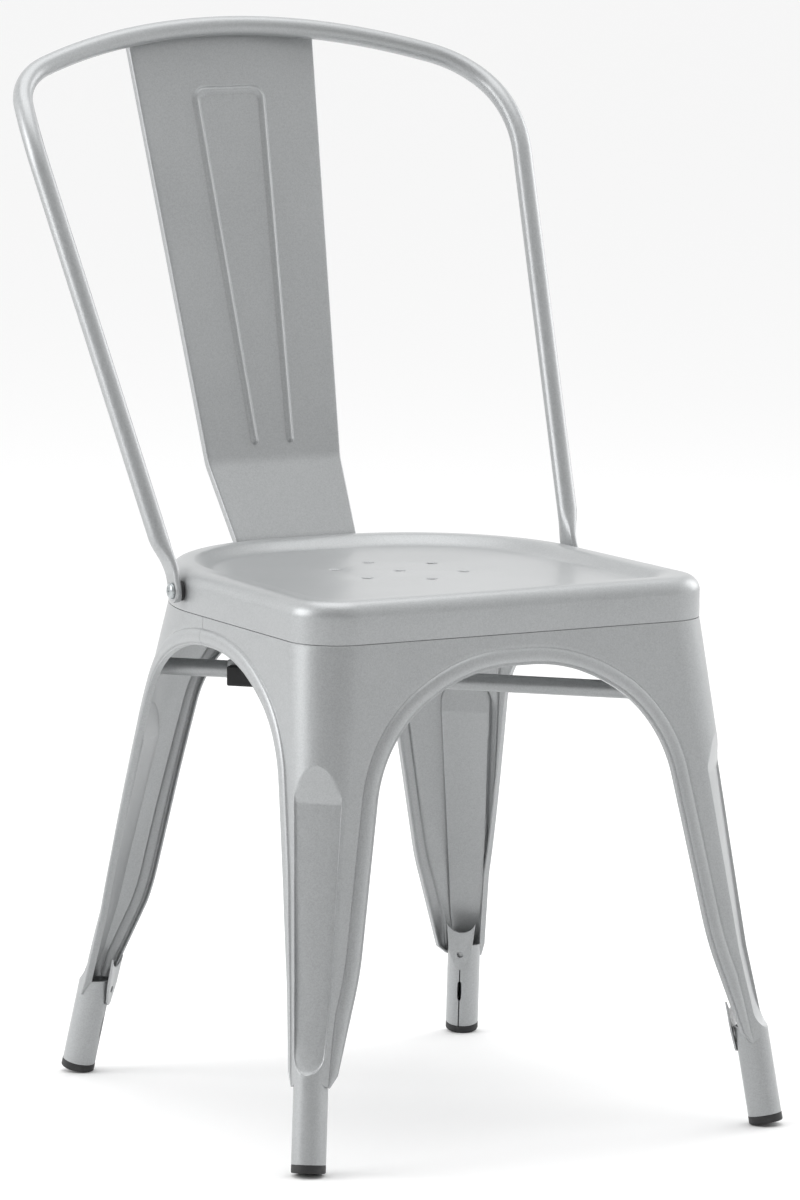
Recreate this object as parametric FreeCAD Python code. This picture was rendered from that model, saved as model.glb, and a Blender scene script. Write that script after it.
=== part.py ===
import FreeCAD, Part
import math
import os

# Stacking bistro chair of pressed sheet steel and bent tube, all sizes in millimetres.
# X runs across the seat, Y runs towards the back, Z is up, and the feet stand on Z = 0.
# Everything is modelled about the middle of the seat's drain holes and moved to the
# middle of the chair's footprint when it is written.

Vector = FreeCAD.Vector
UP = Vector(0, 0, 1)

# Driving dimensions: stock
SHEET = 1.5
FIT = 0.05
BUTT_GAP = 0.3

# Driving dimensions: plan of the underframe, as sharp corners before rounding
SEAM_Z = 401.5
SEAM_FRONT_HALF = 183.5
SEAM_REAR_HALF = 176.0
SEAM_FRONT_Y = -188.5
SEAM_REAR_Y = 168.0
SEAM_FRONT_RADIUS = 40.0
SEAM_REAR_RADIUS = 150.0
WAIST_Z = 140.0
WAIST_FRONT_HALF = 207.0
WAIST_REAR_HALF = 179.5
WAIST_FRONT_Y = -223.5
WAIST_REAR_Y = 187.5
WAIST_FRONT_RADIUS = 24.0
WAIST_REAR_RADIUS = 28.0
FLOOR_FRONT_HALF = 222.4
FLOOR_REAR_HALF = 194.5
FLOOR_FRONT_Y = -244.9
FLOOR_REAR_Y = 218.0

# Driving dimensions: rolled foot at the bottom of each leg
FOOT_RADIUS = 13.5
FOOT_TOP_Z = 78.0
SLIT_WIDTH = 1.2
SLIT_TOP_Z = 64.0
WINDOW_WIDTH = 3.6
WINDOW_LOW_Z = 29.0
WINDOW_HEIGHT = 17.0

# Driving dimensions: arches pressed in each side of the underframe. Each outline is half an
# opening, as (distance from the middle, height, corner radius).
FRONT_ARCH = [(0.0, 377.0, 0.0), (45.0, 377.0, 138.0), (125.0, 331.0, 110.0),
              (158.5, 150.0, 260.0), (187.0, 66.0, 0.0)]
REAR_ARCH = [(0.0, 377.0, 0.0), (26.0, 377.0, 82.0), (86.0, 331.0, 75.0),
             (124.5, 150.0, 200.0), (158.0, 66.0, 0.0)]
SIDE_ARCH = [(0.0, 379.0, 0.0), (48.0, 379.0, 150.0), (124.0, 331.0, 100.0),
             (167.0, 170.0, 300.0), (195.0, 66.0, 0.0)]
SIDE_ARCH_Y = -14.0
ARCH_REACH = 150.0
FLANGE_DEPTH_TOP = 6.0
FLANGE_DEPTH_LOW = 4.0
BEAD_INNER = 2.0
BEAD_WIDTH = 11.0
BEAD_HEIGHT = 2.2

# Driving dimensions: flat flute pressed into the outer corner of each leg
FLUTE_DEPTH = 7.8
FLUTE_TOP_Z = 311.0
FLUTE_RAMP = 30.0
FLUTE_RUNOUT = 32.0
FLUTE_LOW_Z = 78.0
FLUTE_TOP_HALF = 21.0
FLUTE_LOW_HALF = 14.2
FLUTE_REACH = 120.0
RUNOUT_CURVE = 0.45
RUNOUT_HOLD = 0.72

# Driving dimensions: joints between the legs and up to the seat
LEDGE_HEIGHT = 1.5
TONGUE_HEIGHT = 8.0
LAP_Y = -3.0
LAP_WIDTH = 14.0

# Driving dimensions: gusset in the throat of each leg
GUSSET_LOW_Z = 60.0
GUSSET_HEIGHT = 42.0
GUSSET_WIDTH = 24.0
GUSSET_TAIL = 10.0
GUSSET_NOTCH = 8.0
GUSSET_HOLE_RADIUS = 2.7
GUSSET_HOLE_UP = 14.0

# Driving dimensions: plastic cap on each foot
CAP_HEIGHT = 6.5
CAP_PLUG = 14.0
CAP_WALL = 2.0
CAP_EDGE = 1.2
CAP_FLAT = 0.4

# Driving dimensions: seat pan
SEAM_GAP = 0.6
RIM_Z = 435.0
RIM_ROUND = 13.0
RIM_WIDTH = 27.0
RIM_SHOULDER = 9.0
DISH_DEPTH = 8.0
DISH_SLOPE = 9.0
DISH_ROUND = 9.0
DISH_REAR_RADIUS = 120.0
DISH_FRONT_RADIUS = 30.0
DRAIN_RADIUS = 4.5
DRAIN_CIRCLE = 51.0
DRAIN_COUNT = 6

# Driving dimensions: crossed braces and their stacking pads
BRACE_Z = 341.0
BRACE_RADIUS = 7.0
BRACE_WALL = 1.5
PAD_LENGTH = 27.0
PAD_HEIGHT = 16.0
PAD_THICK = 9.0
PAD_FROM_MIDDLE = 128.0
PAD_ROUND = 1.5
PAD_SAG = 4.0
BRACKET_LENGTH = 31.0

# Driving dimensions: tubular back hoop
HOOP_RADIUS = 8.0
HOOP_WALL = 1.5
HOOP_LEG_TOP = Vector(223.0, 191.5, 738.0)
HOOP_RAIL_END = Vector(180.0, 269.5, 816.0)
HOOP_RAIL_MIDDLE = Vector(0.0, 299.0, 841.5)
HOOP_END_THICK = 5.0
HOOP_END_WIDTH = 19.0
HOOP_END_LENGTH = 13.0
HOOP_PRESS_LENGTH = 34.0
HOOP_BOLT_Y = 35.0
HOOP_BOLT_Z = 417.5

# Driving dimensions: fasteners
SCREW_RADIUS = 3.0
SCREW_HEAD_RADIUS = 6.5
SCREW_HEAD_HEIGHT = 3.6
SCREW_TAIL = 3.0
SOCKET_RADIUS = 2.3
SOCKET_DEPTH = 1.8
HOLE_RADIUS = 3.3
WASHER_RADIUS = 8.0
WASHER_THICK = 3.0
NUT_ACROSS = 10.0
NUT_THICK = 5.0

# Driving dimensions: back splat
SPLAT_TOP_HALF = 86.5
SPLAT_BEND_HALF = 62.0
SPLAT_LOW_HALF = 56.0
SPLAT_TOP_Y = 304.1
SPLAT_TOP_Z = 830.0
SPLAT_TUCK = 6.0
SPLAT_BEND_Y = 207.0
SPLAT_BEND_Z = 493.0
SPLAT_FOOT_Z = 432.0
SPLAT_LOW_Z = 406.0
SPLAT_BEND_ROUND = 30.0
SPLAT_FLANGE = 6.0
SPLAT_SCREW_X = 28.0
SPLAT_SCREW_Z = 416.0
RIB_RADIUS = 3.0
RIB_TOP_HALF = 31.0
RIB_LOW_HALF = 16.5
RIB_TOP_DOWN = 42.0
RIB_LOW_UP = 16.0
RIB_ROUND = 9.0

# Worked out: the middle of the chair from the front of the feet to the back of the splat
SPLAT_LEAN = math.atan2(SPLAT_TOP_Y - SPLAT_BEND_Y, SPLAT_TOP_Z - SPLAT_BEND_Z)
SPLAT_BACK_Y = SPLAT_TOP_Y + SPLAT_FLANGE / math.cos(SPLAT_LEAN)
FRAME_SHIFT_Y = -(FLOOR_FRONT_Y + SPLAT_BACK_Y) / 2

# Worked out: the underframe's plan at three heights, as (height, front half width, rear half
# width, front, rear, front corner radius, rear corner radius)
PLAN_LEVELS = [
    (SEAM_Z, SEAM_FRONT_HALF, SEAM_REAR_HALF, SEAM_FRONT_Y, SEAM_REAR_Y,
     SEAM_FRONT_RADIUS, SEAM_REAR_RADIUS),
    (WAIST_Z, WAIST_FRONT_HALF, WAIST_REAR_HALF, WAIST_FRONT_Y, WAIST_REAR_Y,
     WAIST_FRONT_RADIUS, WAIST_REAR_RADIUS),
    (0.0, FLOOR_FRONT_HALF, FLOOR_REAR_HALF, FLOOR_FRONT_Y, FLOOR_REAR_Y,
     FOOT_RADIUS, FOOT_RADIUS)]


def vec(x, y, z):
    return Vector(x, y, z)


def inset_corners(corners, inset):
    """Move each side of a convex plan inwards, and give the new sharp corners."""
    lines = []
    for index, start in enumerate(corners):
        end = corners[(index + 1) % len(corners)]
        along = (end - start).normalize()
        inward = UP.cross(along)
        lines.append((start + inward * inset, along))
    moved = []
    for index in range(len(corners)):
        base_a, dir_a = lines[index - 1]
        base_b, dir_b = lines[index]
        gap = base_b - base_a
        turn = dir_a.x * dir_b.y - dir_a.y * dir_b.x
        reach = (gap.x * dir_b.y - gap.y * dir_b.x) / turn
        moved.append(base_a + dir_a * reach)
    return moved


def corner_circle(corners, index, radius):
    """Centre of the circle that rounds one corner, and the directions of its two sides."""
    corner = corners[index]
    back = (corners[index - 1] - corner).normalize()
    ahead = (corners[(index + 1) % len(corners)] - corner).normalize()
    half = back.getAngle(ahead) / 2
    inward = (back + ahead).normalize()
    centre = corner + inward * (radius / math.sin(half))
    reach = radius / math.tan(half)
    return centre, corner + back * reach, corner + ahead * reach


def rounded_outline(corners, radii):
    """Closed wire of straight sides and round corners."""
    arcs = []
    for index, radius in enumerate(radii):
        centre, start, end = corner_circle(corners, index, radius)
        middle = centre + (corners[index] - centre).normalize() * radius
        arcs.append((start, middle, end))
    edges = []
    for index, (start, middle, end) in enumerate(arcs):
        following = arcs[(index + 1) % len(arcs)][0]
        edges.append(Part.Arc(start, middle, end).toShape())
        edges.append(Part.makeLine(end, following))
    return Part.Wire(edges)


def filleted_path(points, place):
    """Edges through corner points (across, up, radius), put in space by place()."""
    spots = [vec(across, up, 0) for across, up, radius in points]
    edges = []
    last = spots[0]
    for index in range(1, len(points) - 1):
        corner = spots[index]
        back = (spots[index - 1] - corner).normalize()
        ahead = (spots[index + 1] - corner).normalize()
        half = back.getAngle(ahead) / 2
        radius = points[index][2]
        reach = radius / math.tan(half)
        start = corner + back * reach
        end = corner + ahead * reach
        centre = corner + (back + ahead).normalize() * (radius / math.sin(half))
        middle = centre + (corner - centre).normalize() * radius
        if (start - last).Length > 1e-6:
            edges.append(Part.makeLine(place(last), place(start)))
        edges.append(Part.Arc(place(start), place(middle), place(end)).toShape())
        last = end
    edges.append(Part.makeLine(place(last), place(spots[-1])))
    return edges


def box(low, high):
    """Block between two corners."""
    size = high - low
    return Part.makeBox(size.x, size.y, size.z, low)


def mirrored(shape):
    """The same piece on the other side of the chair."""
    return shape.mirror(vec(0, 0, 0), vec(1, 0, 0))


def plan_level(height):
    """Plan of the underframe at a height, straight between the three levels."""
    high, low = PLAN_LEVELS[:2] if height >= WAIST_Z else PLAN_LEVELS[1:]
    share = (high[0] - height) / (high[0] - low[0])
    return [start + share * (end - start) for start, end in zip(high, low)]


def plan_corners(height):
    """Sharp corners of the underframe at a height: front left, front right, rear right, rear left."""
    level, front_half, rear_half, front_y, rear_y, front_radius, rear_radius = plan_level(height)
    return [vec(-front_half, front_y, height), vec(front_half, front_y, height),
            vec(rear_half, rear_y, height), vec(-rear_half, rear_y, height)]


def corner_radius(index, height):
    """Radius of a leg's round corner at a height, down to the foot tube's own."""
    if height >= WAIST_Z:
        return plan_level(height)[5 if index < 2 else 6]
    waist = WAIST_FRONT_RADIUS if index < 2 else WAIST_REAR_RADIUS
    share = (WAIST_Z - height) / (WAIST_Z - FOOT_TOP_Z)
    return waist + share * (FOOT_RADIUS - waist)


def plan_ring(height, inset):
    """Outline of the underframe at a height, moved inwards."""
    corners = inset_corners(plan_corners(height), inset)
    return rounded_outline(corners, [corner_radius(index, height) - inset for index in range(4)])


def underframe_block(inset_top, inset_low):
    """Splayed block whose walls carry the legs, from the foot tubes up to the seam."""
    share = (SEAM_Z - WAIST_Z) / (SEAM_Z - FOOT_TOP_Z)
    inset_waist = inset_top + share * (inset_low - inset_top)
    rings = [plan_ring(SEAM_Z, inset_top), plan_ring(WAIST_Z, inset_waist), plan_ring(FOOT_TOP_Z, inset_low)]
    return Part.makeLoft(rings, True, True)


def upright_block(inset, low_z, high_z):
    """Straight-sided block on the seam's outline."""
    corners = inset_corners(plan_corners(SEAM_Z), inset)
    front = SEAM_FRONT_RADIUS - inset
    rear = SEAM_REAR_RADIUS - inset
    wire = rounded_outline(corners, [front, front, rear, rear])
    wire.translate(vec(0, 0, low_z - SEAM_Z))
    return Part.Face(wire).extrude(vec(0, 0, high_z - low_z))


def foot_centre(index, height):
    """Centre of a foot tube at a height. The tube leans with the leg's corner."""
    centre, start, end = corner_circle(plan_corners(height), index, FOOT_RADIUS)
    return centre


def foot_axis(index):
    """Foot tube's direction, from the floor upwards."""
    return (foot_centre(index, FOOT_TOP_Z) - foot_centre(index, 0)).normalize()


def outward_diagonal(index):
    """Level direction from a foot's centre out through the leg's corner."""
    corner = plan_corners(FOOT_TOP_Z)[index]
    return (corner - foot_centre(index, FOOT_TOP_Z)).normalize()


def corner_apex(index, height):
    """Outermost point of a leg's round corner at a height."""
    radius = corner_radius(index, height)
    corners = plan_corners(height)
    centre, start, end = corner_circle(corners, index, radius)
    return centre + (corners[index] - centre).normalize() * radius


def flute_outline(index, grow):
    """Front view of the flute: round top, sides that close in towards the foot, round bottom."""
    outward = outward_diagonal(index)
    across = UP.cross(outward)
    base = corner_apex(index, FLUTE_LOW_Z)
    base.z = 0
    top_half = FLUTE_TOP_HALF + grow
    low_half = FLUTE_LOW_HALF + grow

    def spot(side, height):
        return base + across * side - outward * FLUTE_REACH + vec(0, 0, height)
    shoulder_z = FLUTE_TOP_Z - FLUTE_TOP_HALF
    low_z = FLUTE_LOW_Z + FLUTE_LOW_HALF
    left = spot(-top_half, shoulder_z)
    right = spot(top_half, shoulder_z)
    low_right = spot(low_half, low_z)
    low_left = spot(-low_half, low_z)
    edges = [Part.Arc(left, spot(0, FLUTE_TOP_Z + grow), right).toShape(),
             Part.makeLine(right, low_right),
             Part.Arc(low_right, spot(0, FLUTE_LOW_Z - grow), low_left).toShape(),
             Part.makeLine(low_left, left)]
    return Part.Face(Part.Wire(edges)).extrude(outward * (2 * FLUTE_REACH))


def flute_cutter(index, sink):
    """What the flute takes off a leg's corner, sunk by the sheet's thickness for the inner face."""
    outward = outward_diagonal(index)
    across = UP.cross(outward)
    base = corner_apex(index, FLUTE_LOW_Z)
    depth = FLUTE_DEPTH + sink

    def spot(height, out):
        level = (corner_apex(index, height) - base).dot(outward) + out
        return vec(base.x, base.y, height) + outward * level

    top = spot(FLUTE_TOP_Z + sink, 0)
    ramp_foot = spot(FLUTE_TOP_Z - FLUTE_RAMP + sink, -depth)
    waist = spot(WAIST_Z, -depth)
    run_start = spot(FLUTE_LOW_Z + FLUTE_RUNOUT, -depth)
    run_middle = spot(FLUTE_LOW_Z + FLUTE_RUNOUT * RUNOUT_CURVE, -depth * RUNOUT_HOLD)
    run_end = spot(FLUTE_LOW_Z, -sink)
    far_low = spot(FLUTE_LOW_Z, FLUTE_REACH)
    far_high = spot(FLUTE_TOP_Z + sink, FLUTE_REACH)
    profile = Part.Wire([Part.makeLine(top, ramp_foot), Part.makeLine(ramp_foot, waist),
                         Part.makeLine(waist, run_start),
                         Part.Arc(run_start, run_middle, run_end).toShape(),
                         Part.makeLine(run_end, far_low), Part.makeLine(far_low, far_high),
                         Part.makeLine(far_high, top)])
    profile.translate(across * -FLUTE_REACH)
    prism = Part.Face(profile).extrude(across * (2 * FLUTE_REACH))
    return prism.common(flute_outline(index, sink))


def grown_outline(points, grow):
    """Half outline of an arch moved outwards into the metal, with its rounds adjusted."""
    spots = [vec(across, up, 0) for across, up, radius in points]
    normals = []
    for start, end in zip(spots, spots[1:]):
        along = (end - start).normalize()
        normals.append(UP.cross(along))
    moved = [(0.0, spots[0].y + grow, 0.0)]
    for index in range(1, len(points) - 1):
        before, after = normals[index - 1], normals[index]
        middle = (before + after).normalize()
        spot = spots[index] + middle * (grow / middle.dot(before))
        outward_turn = 1 if before.cross(after).z < 0 else -1
        moved.append((spot.x, spot.y, points[index][2] + outward_turn * grow))
    last = spots[-1] + normals[-1] * grow
    moved.append((last.x, last.y, 0.0))
    return moved


def arch_wire(points, place):
    """Closed outline of an arch from its half outline."""
    right = filleted_path(points, place)
    left = filleted_path([(-across, up, radius) for across, up, radius in points], place)
    foot = points[-1]
    base = Part.makeLine(place(vec(foot[0], foot[1], 0)), place(vec(-foot[0], foot[1], 0)))
    return Part.Wire(Part.sortEdges(right + left + [base])[0])


def arch_prism(arch, grow):
    """Arch outline, grown outwards and carried through the frame's wall."""
    points, place, through = arch
    return Part.Face(arch_wire(grown_outline(points, grow), place)).extrude(through)


def arch_set(index):
    """The two arches beside a leg, with the directions that carry them through their walls."""
    half_run = FLOOR_FRONT_HALF - SEAM_FRONT_HALF
    start_front = FLOOR_FRONT_Y - half_run
    start_rear = FLOOR_REAR_Y + half_run
    start_side = FLOOR_FRONT_HALF + half_run
    reach = ARCH_REACH
    if index < 2:
        end_arch = (FRONT_ARCH, lambda p: vec(p.x, start_front, p.y), vec(0, reach, 0))
    else:
        end_arch = (REAR_ARCH, lambda p: vec(p.x, start_rear, p.y), vec(0, -reach, 0))
    side = -1 if index in (0, 3) else 1
    side_arch = (SIDE_ARCH, lambda p: vec(side * start_side, p.x + SIDE_ARCH_Y, p.y), vec(-side * reach, 0, 0))
    return [end_arch, side_arch]


def quarter_room(index):
    """Block that holds one leg's share of the underframe."""
    reach = 2 * FLOOR_FRONT_HALF
    low_x, high_x = (-reach, -BUTT_GAP / 2) if index in (0, 3) else (BUTT_GAP / 2, reach)
    low_y, high_y = (-reach, LAP_Y - BUTT_GAP / 2) if index < 2 else (LAP_Y + BUTT_GAP / 2, reach)
    return box(vec(low_x, low_y, 0), vec(high_x, high_y, 2 * SEAM_Z))


def pressed_quarter(index):
    """Pressed skin of one leg with its flute and its share of the arches, beads and flanges."""
    room = quarter_room(index)
    outer = underframe_block(0, 0).common(room).cut(flute_cutter(index, 0))
    inner = underframe_block(SHEET, SHEET).common(room).cut(flute_cutter(index, SHEET))
    skin = outer.cut(inner)
    flange_zone = outer.cut(underframe_block(FLANGE_DEPTH_TOP, FLANGE_DEPTH_LOW))
    bead_zone = underframe_block(-BEAD_HEIGHT, -BEAD_HEIGHT).common(room).cut(inner)
    for arch in arch_set(index):
        opening = arch_prism(arch, 0)
        flange = arch_prism(arch, SHEET).cut(opening).common(flange_zone)
        bead_outer = arch_prism(arch, BEAD_INNER + BEAD_WIDTH)
        bead = bead_outer.cut(arch_prism(arch, BEAD_INNER)).common(bead_zone)
        skin = skin.cut(opening).fuse(flange).fuse(bead)
    low_z = SEAM_Z - LEDGE_HEIGHT
    ledge = upright_block(0, low_z, SEAM_Z).cut(upright_block(2 * SHEET + FIT, low_z, SEAM_Z))
    high_z = SEAM_Z + TONGUE_HEIGHT
    tongue = upright_block(SHEET + FIT, low_z, high_z).cut(upright_block(2 * SHEET + FIT, low_z, high_z))
    return skin.fuse(ledge.common(room)).fuse(tongue.common(room))


def lap_tab():
    """Tab of the rear leg's apron that runs behind the front leg's apron."""
    outer = underframe_block(SHEET + FIT, SHEET + FIT)
    inner = underframe_block(2 * SHEET + FIT, 2 * SHEET + FIT)
    crown = max(up for across, up, radius in SIDE_ARCH)
    low = vec(-2 * FLOOR_FRONT_HALF, LAP_Y - LAP_WIDTH, crown + SHEET)
    high = vec(0, LAP_Y + BUTT_GAP, SEAM_Z - LEDGE_HEIGHT)
    strip = outer.cut(inner).common(box(low, high))
    join_low = vec(-2 * FLOOR_FRONT_HALF, LAP_Y + BUTT_GAP / 2, crown + SHEET)
    join_high = vec(0, LAP_Y + BUTT_GAP / 2 + SHEET, SEAM_Z - LEDGE_HEIGHT)
    step = underframe_block(0, 0).cut(inner).common(box(join_low, join_high))
    return strip.fuse(step)


def sole_centre(index):
    """Middle of a foot's sole, as high as its tilt lifts it, less the worn flat."""
    lean = math.acos(foot_axis(index).z)
    return foot_centre(index, FOOT_RADIUS * math.sin(lean) - CAP_FLAT)


def foot_plane_cut(index, height_up):
    """Block below a plane square to the foot tube, at a distance up the tube from its sole."""
    axis = foot_axis(index)
    base = sole_centre(index) + axis * height_up
    size = 6 * FOOT_RADIUS
    return Part.makeCylinder(size, size, base - axis * size, axis)


def foot_tube(index):
    """Foot rolled from the leg's own sheet, closed by a slit on its inner side."""
    def pipe(radius):
        rings = []
        for height in (FOOT_TOP_Z, -FOOT_RADIUS):
            circle = Part.makeCircle(radius, foot_centre(index, height), UP)
            rings.append(Part.Wire(circle))
        return Part.makeLoft(rings, True, True)
    tube = pipe(FOOT_RADIUS).cut(pipe(FOOT_RADIUS - SHEET))
    tube = tube.cut(foot_plane_cut(index, CAP_HEIGHT))
    inward = outward_diagonal(index) * -1
    across = UP.cross(inward)

    def slot(width, low_z, height):
        foot = foot_centre(index, low_z) - across * (width / 2)
        head = foot_centre(index, low_z + height) - across * (width / 2)
        outline = Part.makePolygon([foot, head, head + across * width, foot + across * width, foot])
        return Part.Face(outline).extrude(inward * (2 * FOOT_RADIUS))
    tube = tube.cut(slot(SLIT_WIDTH, -FOOT_RADIUS, SLIT_TOP_Z + FOOT_RADIUS))
    return tube.cut(slot(WINDOW_WIDTH, WINDOW_LOW_Z, WINDOW_HEIGHT))


def leg(index):
    """One leg: its quarter of the pressed skin with its rolled foot."""
    body = pressed_quarter(index).fuse(foot_tube(index))
    if index == 3:
        body = body.fuse(lap_tab())
    return body.removeSplitter()


def leg_gusset(index):
    """Fish-tailed plate with one hole, on the inner side of the foot tube's top."""
    inward = outward_diagonal(index) * -1
    across = UP.cross(inward)
    axis = foot_axis(index)
    facing = across.cross(axis).normalize()
    if facing.dot(inward) < 0:
        facing = facing * -1
    origin = foot_centre(index, GUSSET_LOW_Z) + facing * (FOOT_RADIUS + FIT)

    def spot(side, up):
        return origin + across * side + axis * up
    half = GUSSET_WIDTH / 2
    tail = GUSSET_TAIL / 2
    neck = GUSSET_HOLE_UP + GUSSET_HOLE_RADIUS
    outline = Part.Wire([
        Part.Arc(spot(-tail, tail), spot(0, 0), spot(tail, tail)).toShape(),
        Part.makeLine(spot(tail, tail), spot(half * 0.8, neck)),
        Part.makeLine(spot(half * 0.8, neck), spot(half, GUSSET_HEIGHT)),
        Part.Arc(spot(half, GUSSET_HEIGHT), spot(0, GUSSET_HEIGHT - GUSSET_NOTCH),
                 spot(-half, GUSSET_HEIGHT)).toShape(),
        Part.makeLine(spot(-half, GUSSET_HEIGHT), spot(-half * 0.8, neck)),
        Part.makeLine(spot(-half * 0.8, neck), spot(-tail, tail))])
    plate = Part.Face(outline).extrude(facing * SHEET)
    hole_start = spot(0, GUSSET_HOLE_UP) - facing * SHEET
    return plate.cut(Part.makeCylinder(GUSSET_HOLE_RADIUS, 3 * SHEET, hole_start, facing))


def foot_cap(index):
    """Moulded cap with a plug that sits in the foot tube, worn flat where it meets the floor."""
    axis = foot_axis(index)
    lean = math.acos(axis.z)
    sole = sole_centre(index)
    disc = Part.makeCylinder(FOOT_RADIUS, CAP_HEIGHT - FIT, sole, axis)
    rims = [edge for edge in disc.Edges if len(edge.Vertexes) == 1]
    low_rim = min(rims, key=lambda edge: edge.CenterOfMass.z)
    disc = disc.makeFillet(CAP_EDGE, [low_rim])
    plug_radius = (FOOT_RADIUS - SHEET) * math.cos(lean) - 4 * FIT
    plug = Part.makeCylinder(plug_radius, CAP_HEIGHT + CAP_PLUG, sole + axis, axis)
    core = Part.makeCylinder(plug_radius - CAP_WALL, CAP_PLUG + CAP_HEIGHT, sole + axis * CAP_HEIGHT, axis)
    cap = disc.fuse(plug.cut(core))
    ground = box(sole + vec(-50, -50, -50), vec(sole.x + 50, sole.y + 50, 0))
    return cap.cut(ground)


def dish_ring(shoulder, height):
    """Outline of the dish at a height, moved in from the skirt."""
    corners = inset_corners(plan_corners(SEAM_Z), shoulder)
    spread = shoulder - RIM_WIDTH
    front = DISH_FRONT_RADIUS - spread
    rear = DISH_REAR_RADIUS - spread
    wire = rounded_outline(corners, [front, front, rear, rear])
    wire.translate(vec(0, 0, height - SEAM_Z))
    return wire


def seat_body(inset):
    """Solid under the seat's skin, for the outer face or, moved inwards, for the inner one."""
    low_z = SEAM_Z + SEAM_GAP if inset == 0 else SEAM_Z - SEAM_GAP
    top_z = RIM_Z - inset
    floor_z = top_z - DISH_DEPTH
    body = upright_block(inset, low_z, top_z)
    top_edges = [edge for edge in body.Edges if lowest(edge) > top_z - FIT]
    body = body.makeFillet(RIM_ROUND - inset, top_edges)
    crest = dish_ring(RIM_WIDTH - inset, top_z)
    floor = dish_ring(RIM_WIDTH + DISH_SLOPE - inset, floor_z)
    body = body.cut(Part.makeLoft([floor, crest], True, True))
    floor_edges = [edge for edge in body.Edges
                   if lowest(edge) > floor_z - FIT and highest(edge) < floor_z + FIT]
    body = body.makeFillet(DISH_ROUND + inset, floor_edges)
    reach = SEAM_FRONT_HALF - RIM_WIDTH + inset + FIT
    front_y = SEAM_FRONT_Y + RIM_WIDTH - inset - FIT
    rear_y = SEAM_REAR_Y - RIM_WIDTH + inset + FIT
    crest_edges = [edge for edge in body.Edges
                   if lowest(edge) > top_z - FIT and abs(edge.CenterOfMass.x) < reach
                   and front_y < edge.CenterOfMass.y < rear_y]
    return body.makeFillet(RIM_SHOULDER - inset, crest_edges)


def lowest(edge):
    return min(vertex.Z for vertex in edge.Vertexes)


def highest(edge):
    return max(vertex.Z for vertex in edge.Vertexes)


def seat_pan():
    """Pressed seat with a turned-down skirt, a raised rim and a shallow dish with drain holes."""
    pan = seat_body(0).cut(seat_body(SHEET))
    centres = [vec(0, 0, 0)]
    for count in range(DRAIN_COUNT):
        turn = math.radians(90 + 360.0 / DRAIN_COUNT * count)
        centres.append(vec(DRAIN_CIRCLE * math.cos(turn), DRAIN_CIRCLE * math.sin(turn), 0))
    for centre in centres:
        pan = pan.cut(Part.makeCylinder(DRAIN_RADIUS, RIM_Z, centre + vec(0, 0, SEAM_Z)))
    for side in (-1, 1):
        spot = hoop_bolt(side)
        outward = skirt_normal(side)
        pan = pan.cut(Part.makeCylinder(HOLE_RADIUS, 8 * SHEET, spot - outward * 4 * SHEET, outward))
        start = vec(side * SPLAT_SCREW_X, SEAM_REAR_Y - 4 * SHEET, SPLAT_SCREW_Z)
        pan = pan.cut(Part.makeCylinder(HOLE_RADIUS, 8 * SHEET, start, vec(0, 1, 0)))
    return pan


def rear_corner(side):
    """Centre of the seat's round rear corner, and where it runs into the side skirt."""
    centre, start, end = corner_circle(plan_corners(SEAM_Z), 2, SEAM_REAR_RADIUS)
    return vec(side * centre.x, centre.y, 0), min(start.y, end.y)


def skirt_normal(side):
    """Outward level direction of the seat's skirt at the hoop screw."""
    centre, join_y = rear_corner(side)
    if HOOP_BOLT_Y > join_y:
        rise = (HOOP_BOLT_Y - centre.y) / SEAM_REAR_RADIUS
        return vec(side * math.sqrt(1 - rise * rise), rise, 0)
    run = SEAM_REAR_Y - SEAM_FRONT_Y
    return vec(side * run, SEAM_FRONT_HALF - SEAM_REAR_HALF, 0).normalize()


def hoop_bolt(side):
    """Where a hoop screw crosses the outer face of the seat's side skirt."""
    centre, join_y = rear_corner(side)
    if HOOP_BOLT_Y > join_y:
        spot = centre + skirt_normal(side) * SEAM_REAR_RADIUS
        return vec(spot.x, HOOP_BOLT_Y, HOOP_BOLT_Z)
    share = (HOOP_BOLT_Y - SEAM_FRONT_Y) / (SEAM_REAR_Y - SEAM_FRONT_Y)
    half = SEAM_FRONT_HALF + share * (SEAM_REAR_HALF - SEAM_FRONT_HALF)
    return vec(side * half, HOOP_BOLT_Y, HOOP_BOLT_Z)


def biarc(start, start_dir, end, end_dir):
    """Two arcs that join two directions in space, tangent at their ends and to each other."""
    chord = end - start
    total = start_dir + end_dir
    bend = 2 * (1 - start_dir.dot(end_dir))
    pull = chord.dot(total)
    reach = (math.sqrt(pull * pull + bend * chord.dot(chord)) - pull) / bend
    first = start + start_dir * reach
    second = end - end_dir * reach
    joint = (first + second) * 0.5
    return [arc_from_tangent(start, start_dir, joint), arc_from_tangent(end, end_dir * -1, joint)]


def arc_from_tangent(start, direction, end):
    """Arc that leaves a point in a direction and reaches another point."""
    chord = end - start
    side = (direction * chord.dot(direction) - chord) * -1
    side = side.normalize()
    radius = chord.dot(chord) / (2 * chord.dot(side))
    centre = start + side * radius
    middle = centre + ((start + end) * 0.5 - centre).normalize() * abs(radius)
    return Part.Arc(start, middle, end).toShape()


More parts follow.
